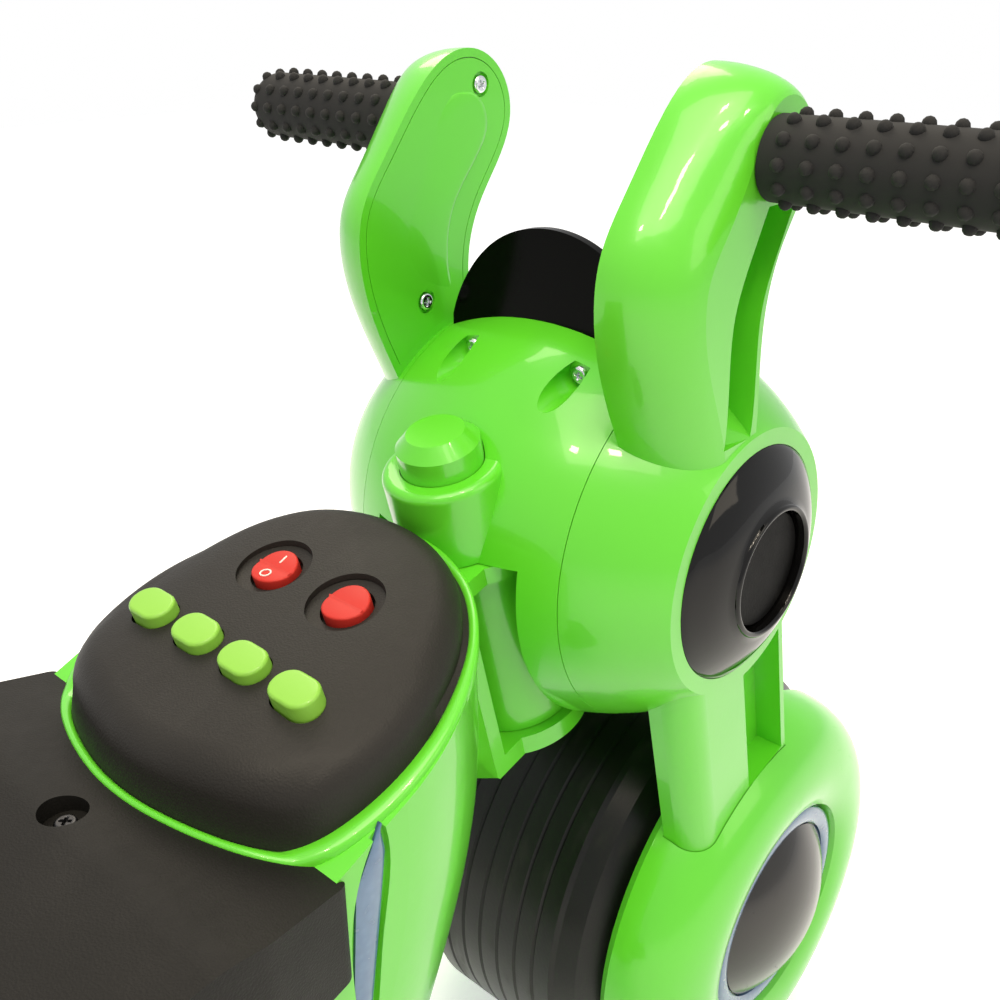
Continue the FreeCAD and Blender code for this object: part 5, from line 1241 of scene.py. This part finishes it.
@dataclass
class Screws:
    """Pan-head screws with a cross recess."""

    head: float = 3.4 * MM
    height: float = 2.2 * MM
    side_share: float = 0.45
    flat_share: float = 0.72
    shank: float = 1.6 * MM
    length: float = 9.0 * MM
    arm: float = 1.8 * MM
    arm_fade: float = 0.5 * MM
    half: float = 0.42 * MM
    half_fade: float = 0.2 * MM
    sink: float = 1.2 * MM
    sink_share: float = 0.9
    round_steps: int = 6
    flat_rings: int = 14
    steps: int = 56
    ear_places: Run = ((215.68 * MM, 466.896 * MM), (183.76 * MM, 388.98 * MM))
    ear_seat: float = 54.6 * MM
    ear_twists: tuple[float, ...] = (0.5, 1.4)
    groove_place: tuple[float, float, float] = (182.09 * MM, 25.3 * MM, 377.47 * MM)
    groove_line: tuple[float, float, float] = (-0.9848, 0.0, -0.1736)
    groove_twist: float = 0.3
    seat_place: tuple[float, float, float] = (-15.0 * MM, 0.0, 288.605 * MM)
    seat_twist: float = 0.7

    def profile(self) -> Run:
        """A screw's outline from its point over its head to the middle of its top."""
        run = [(-self.length, 0.0), (-self.length, self.shank), (0.0, self.shank), (0.0, self.head)]
        for i in range(self.round_steps + 1):
            turn = math.pi / 2 * i / self.round_steps
            up = self.side_share + (1 - self.side_share) * math.sin(turn)
            out = self.flat_share + (1 - self.flat_share) * math.cos(turn)
            run.append((self.height * up, self.head * out))
        flat = self.head * self.flat_share
        return run + [(self.height, flat * (1 - i / self.flat_rings)) for i in range(1, self.flat_rings + 1)]

    def recess(self, across: float, along: float) -> float:
        """Depth of the cross at a point of the head's top."""
        bars = []
        for a, b in ((across, along), (along, across)):
            side = min(1.0, max(0.0, (self.half - abs(a)) / self.half_fade + 0.5))
            tip = min(1.0, max(0.0, (self.arm - abs(b)) / self.arm_fade))
            bars.append(side * tip)
        return self.sink * max(bars)

    def drive(self, form: Sculpt, spot: Sequence[float], line: Sequence[float], twist: float) -> None:
        """Add one screw.

        Args:
            form: the piece it belongs to.
            spot: the middle of its seat.
            line: the way its head looks.
            twist: its turn about its own axis.
        """
        old = set(form.bm.verts)
        form.turn(self.profile(), Vector((0, 0, 0)), self.steps)
        made = [v for v in form.bm.verts if v not in old]
        for v in made:
            if v.co.y > self.sink_share * self.height:
                v.co.y -= self.recess(v.co.x, v.co.z)
        place = Matrix.Translation(spot) @ Vector(line).to_track_quat("Y", "Z").to_matrix().to_4x4()
        bmesh.ops.transform(form.bm, matrix=place @ Matrix.Rotation(twist, 4, "Y"), verts=made)

    def build(self) -> None:
        """Make the head's and ears' screws and the seat's one."""
        shell = Sculpt()
        for side in Side:
            for (x, z), twist in zip(self.ear_places, self.ear_twists):
                self.drive(shell, (x, side.value * self.ear_seat, z), (0, -side.value, 0), twist)
            x, y, z = self.groove_place
            self.drive(shell, (x, side.value * y, z), self.groove_line, self.groove_twist * side.value)
        shell.piece("shell_screw_heads", "front_assembly", CHROME, "screw_chrome", ["shell_screws"])
        seat = Sculpt()
        self.drive(seat, self.seat_place, (0, 0, 1), self.seat_twist)
        # The seat's screw takes the darkened steel, which is painted shade of its hole.
        seat.piece("seat_screw_head", "frame", SHADE_DARKENED_STEEL, "screw_chrome", ["seat_screw"])


@dataclass(frozen=True)
class Lamp:
    """A soft square lamp: its name, where it hangs, the side of its square and its watts."""

    name: str
    spot: tuple[float, float, float]
    size: float
    power: float


@dataclass
class Studio:
    """Camera, floor and soft light."""

    eye: Vector = field(default_factory=lambda: Vector((-0.11612, -0.2522, 0.50322)))
    yaw: float = math.radians(41.67)
    pitch: float = math.radians(-25.07)
    lens: float = 40.11
    sensor: float = 36.0
    near: float = 0.01
    floor_half: float = 4.0
    floor_shades: tuple[float, float] = (0.9, 0.86)
    floor_rough: float = 0.6
    floor_glow: float = 0.5
    sky_light: float = 0.58
    sky_seen: float = 0.42
    sky_mirrored: float = 0.24
    tint: tuple[float, float, float] = (1.0, 0.88, 0.7)
    aim: Vector = field(default_factory=lambda: Vector((0.15, 0.0, 0.25)))
    lamps: tuple[Lamp, ...] = (Lamp("over", (-0.3, -0.3, 1.9), 1.2, 17.0),
                               Lamp("back", (0.85, 0.9, 1.55), 0.9, 13.0),
                               Lamp("side", (0.5, -1.6, 1.1), 0.9, 5.0))
    spark_places: Run = ((-0.55, -0.5), (-0.25, -0.75), (-0.8, -0.1), (0.0, -1.0), (-0.1, -0.35))
    spark_height: float = 1.75
    spark_size: float = 0.09
    spark_power: float = 1.6

    def camera(self) -> None:
        """Set the camera where the photograph was taken from."""
        made = bpy.data.cameras.new("camera")
        made.lens = self.lens
        made.sensor_width = self.sensor
        made.clip_start = self.near
        holder = add_object("camera", made)
        holder.location = self.eye
        flat = math.cos(self.pitch)
        line = Vector((math.cos(self.yaw) * flat, math.sin(self.yaw) * flat, math.sin(self.pitch)))
        holder.rotation_euler = line.to_track_quat("-Z", "Y").to_euler()
        bpy.context.scene.camera = holder

    def floor(self) -> None:
        """Lay a pale floor that keeps the shadow."""
        form = bmesh.new()
        bmesh.ops.create_grid(form, x_segments=1, y_segments=1, size=self.floor_half)
        mesh = bpy.data.meshes.new("floor")
        form.to_mesh(mesh)
        form.free()
        made = add_object("floor", mesh)
        pale = bpy.data.materials.new("pale_floor")
        pale.use_nodes = True
        graph = Graph(pale.node_tree)
        light, dark = [(shade, shade, shade, 1.0) for shade in self.floor_shades]
        tone = graph.blend(graph.noise(3.0, 3.0), light, dark)
        shader = graph.add("ShaderNodeBsdfPrincipled", {},
                           {"Base Color": tone, "Roughness": self.floor_rough})
        path = graph.add("ShaderNodeLightPath", {}, {})
        seen = Amount(graph, path.outputs["Is Camera Ray"]) + Amount(graph, path.outputs["Is Glossy Ray"])
        glow = graph.add("ShaderNodeEmission", {}, {"Strength": self.floor_glow * seen})
        both = graph.add("ShaderNodeAddShader", {}, {0: shader.outputs[0], 1: glow.outputs[0]})
        graph.add("ShaderNodeOutputMaterial", {}, {"Surface": both.outputs[0]})
        mesh.materials.append(pale)

    def hang(self, lamp: Lamp) -> None:
        """Hang one soft lamp over the bike."""
        made = bpy.data.lights.new(lamp.name, "AREA")
        made.size = lamp.size
        made.energy = lamp.power
        made.color = self.tint
        holder = add_object(lamp.name, made)
        holder.location = lamp.spot
        holder.rotation_euler = (self.aim - Vector(lamp.spot)).to_track_quat("-Z", "Y").to_euler()

    def sky(self) -> None:
        """White to the eye and in reflections, softer as a light."""
        world = bpy.data.worlds.new("studio")
        bpy.context.scene.world = world
        world.use_nodes = True
        graph = Graph(world.node_tree)
        path = graph.add("ShaderNodeLightPath", {}, {})
        seen = Amount(graph, path.outputs["Is Camera Ray"])
        gloss = Amount(graph, path.outputs["Is Glossy Ray"])
        mirrored = gloss + Amount(graph, path.outputs["Is Transmission Ray"])
        strength = self.sky_light + self.sky_seen * seen + self.sky_mirrored * mirrored
        back = graph.add("ShaderNodeBackground", {}, {"Color": (1.0, 1.0, 1.0, 1.0), "Strength": strength})
        graph.add("ShaderNodeOutputWorld", {}, {"Surface": back.outputs[0]})

    def build(self) -> None:
        """Set up the whole studio."""
        self.camera()
        self.floor()
        self.sky()
        sparks = [Lamp("spark_%d" % i, (x, y, self.spark_height), self.spark_size, self.spark_power)
                  for i, (x, y) in enumerate(self.spark_places)]
        for lamp in (*self.lamps, *sparks):
            self.hang(lamp)
        bpy.context.scene.view_settings.view_transform = "Standard"


def main() -> None:
    """Build every sub-assembly in order."""
    logging.basicConfig(level=logging.INFO)
    Studio().build()
    Mouldings().build()
    for group in (Grips(), EarCups(), LightRings(), Rockers(), RockerMarks(), EarPads(), LightStrips(),
                  DashSkin(), SongButtons(), Screws()):
        group.build()


if __name__ == "__main__":
    main()
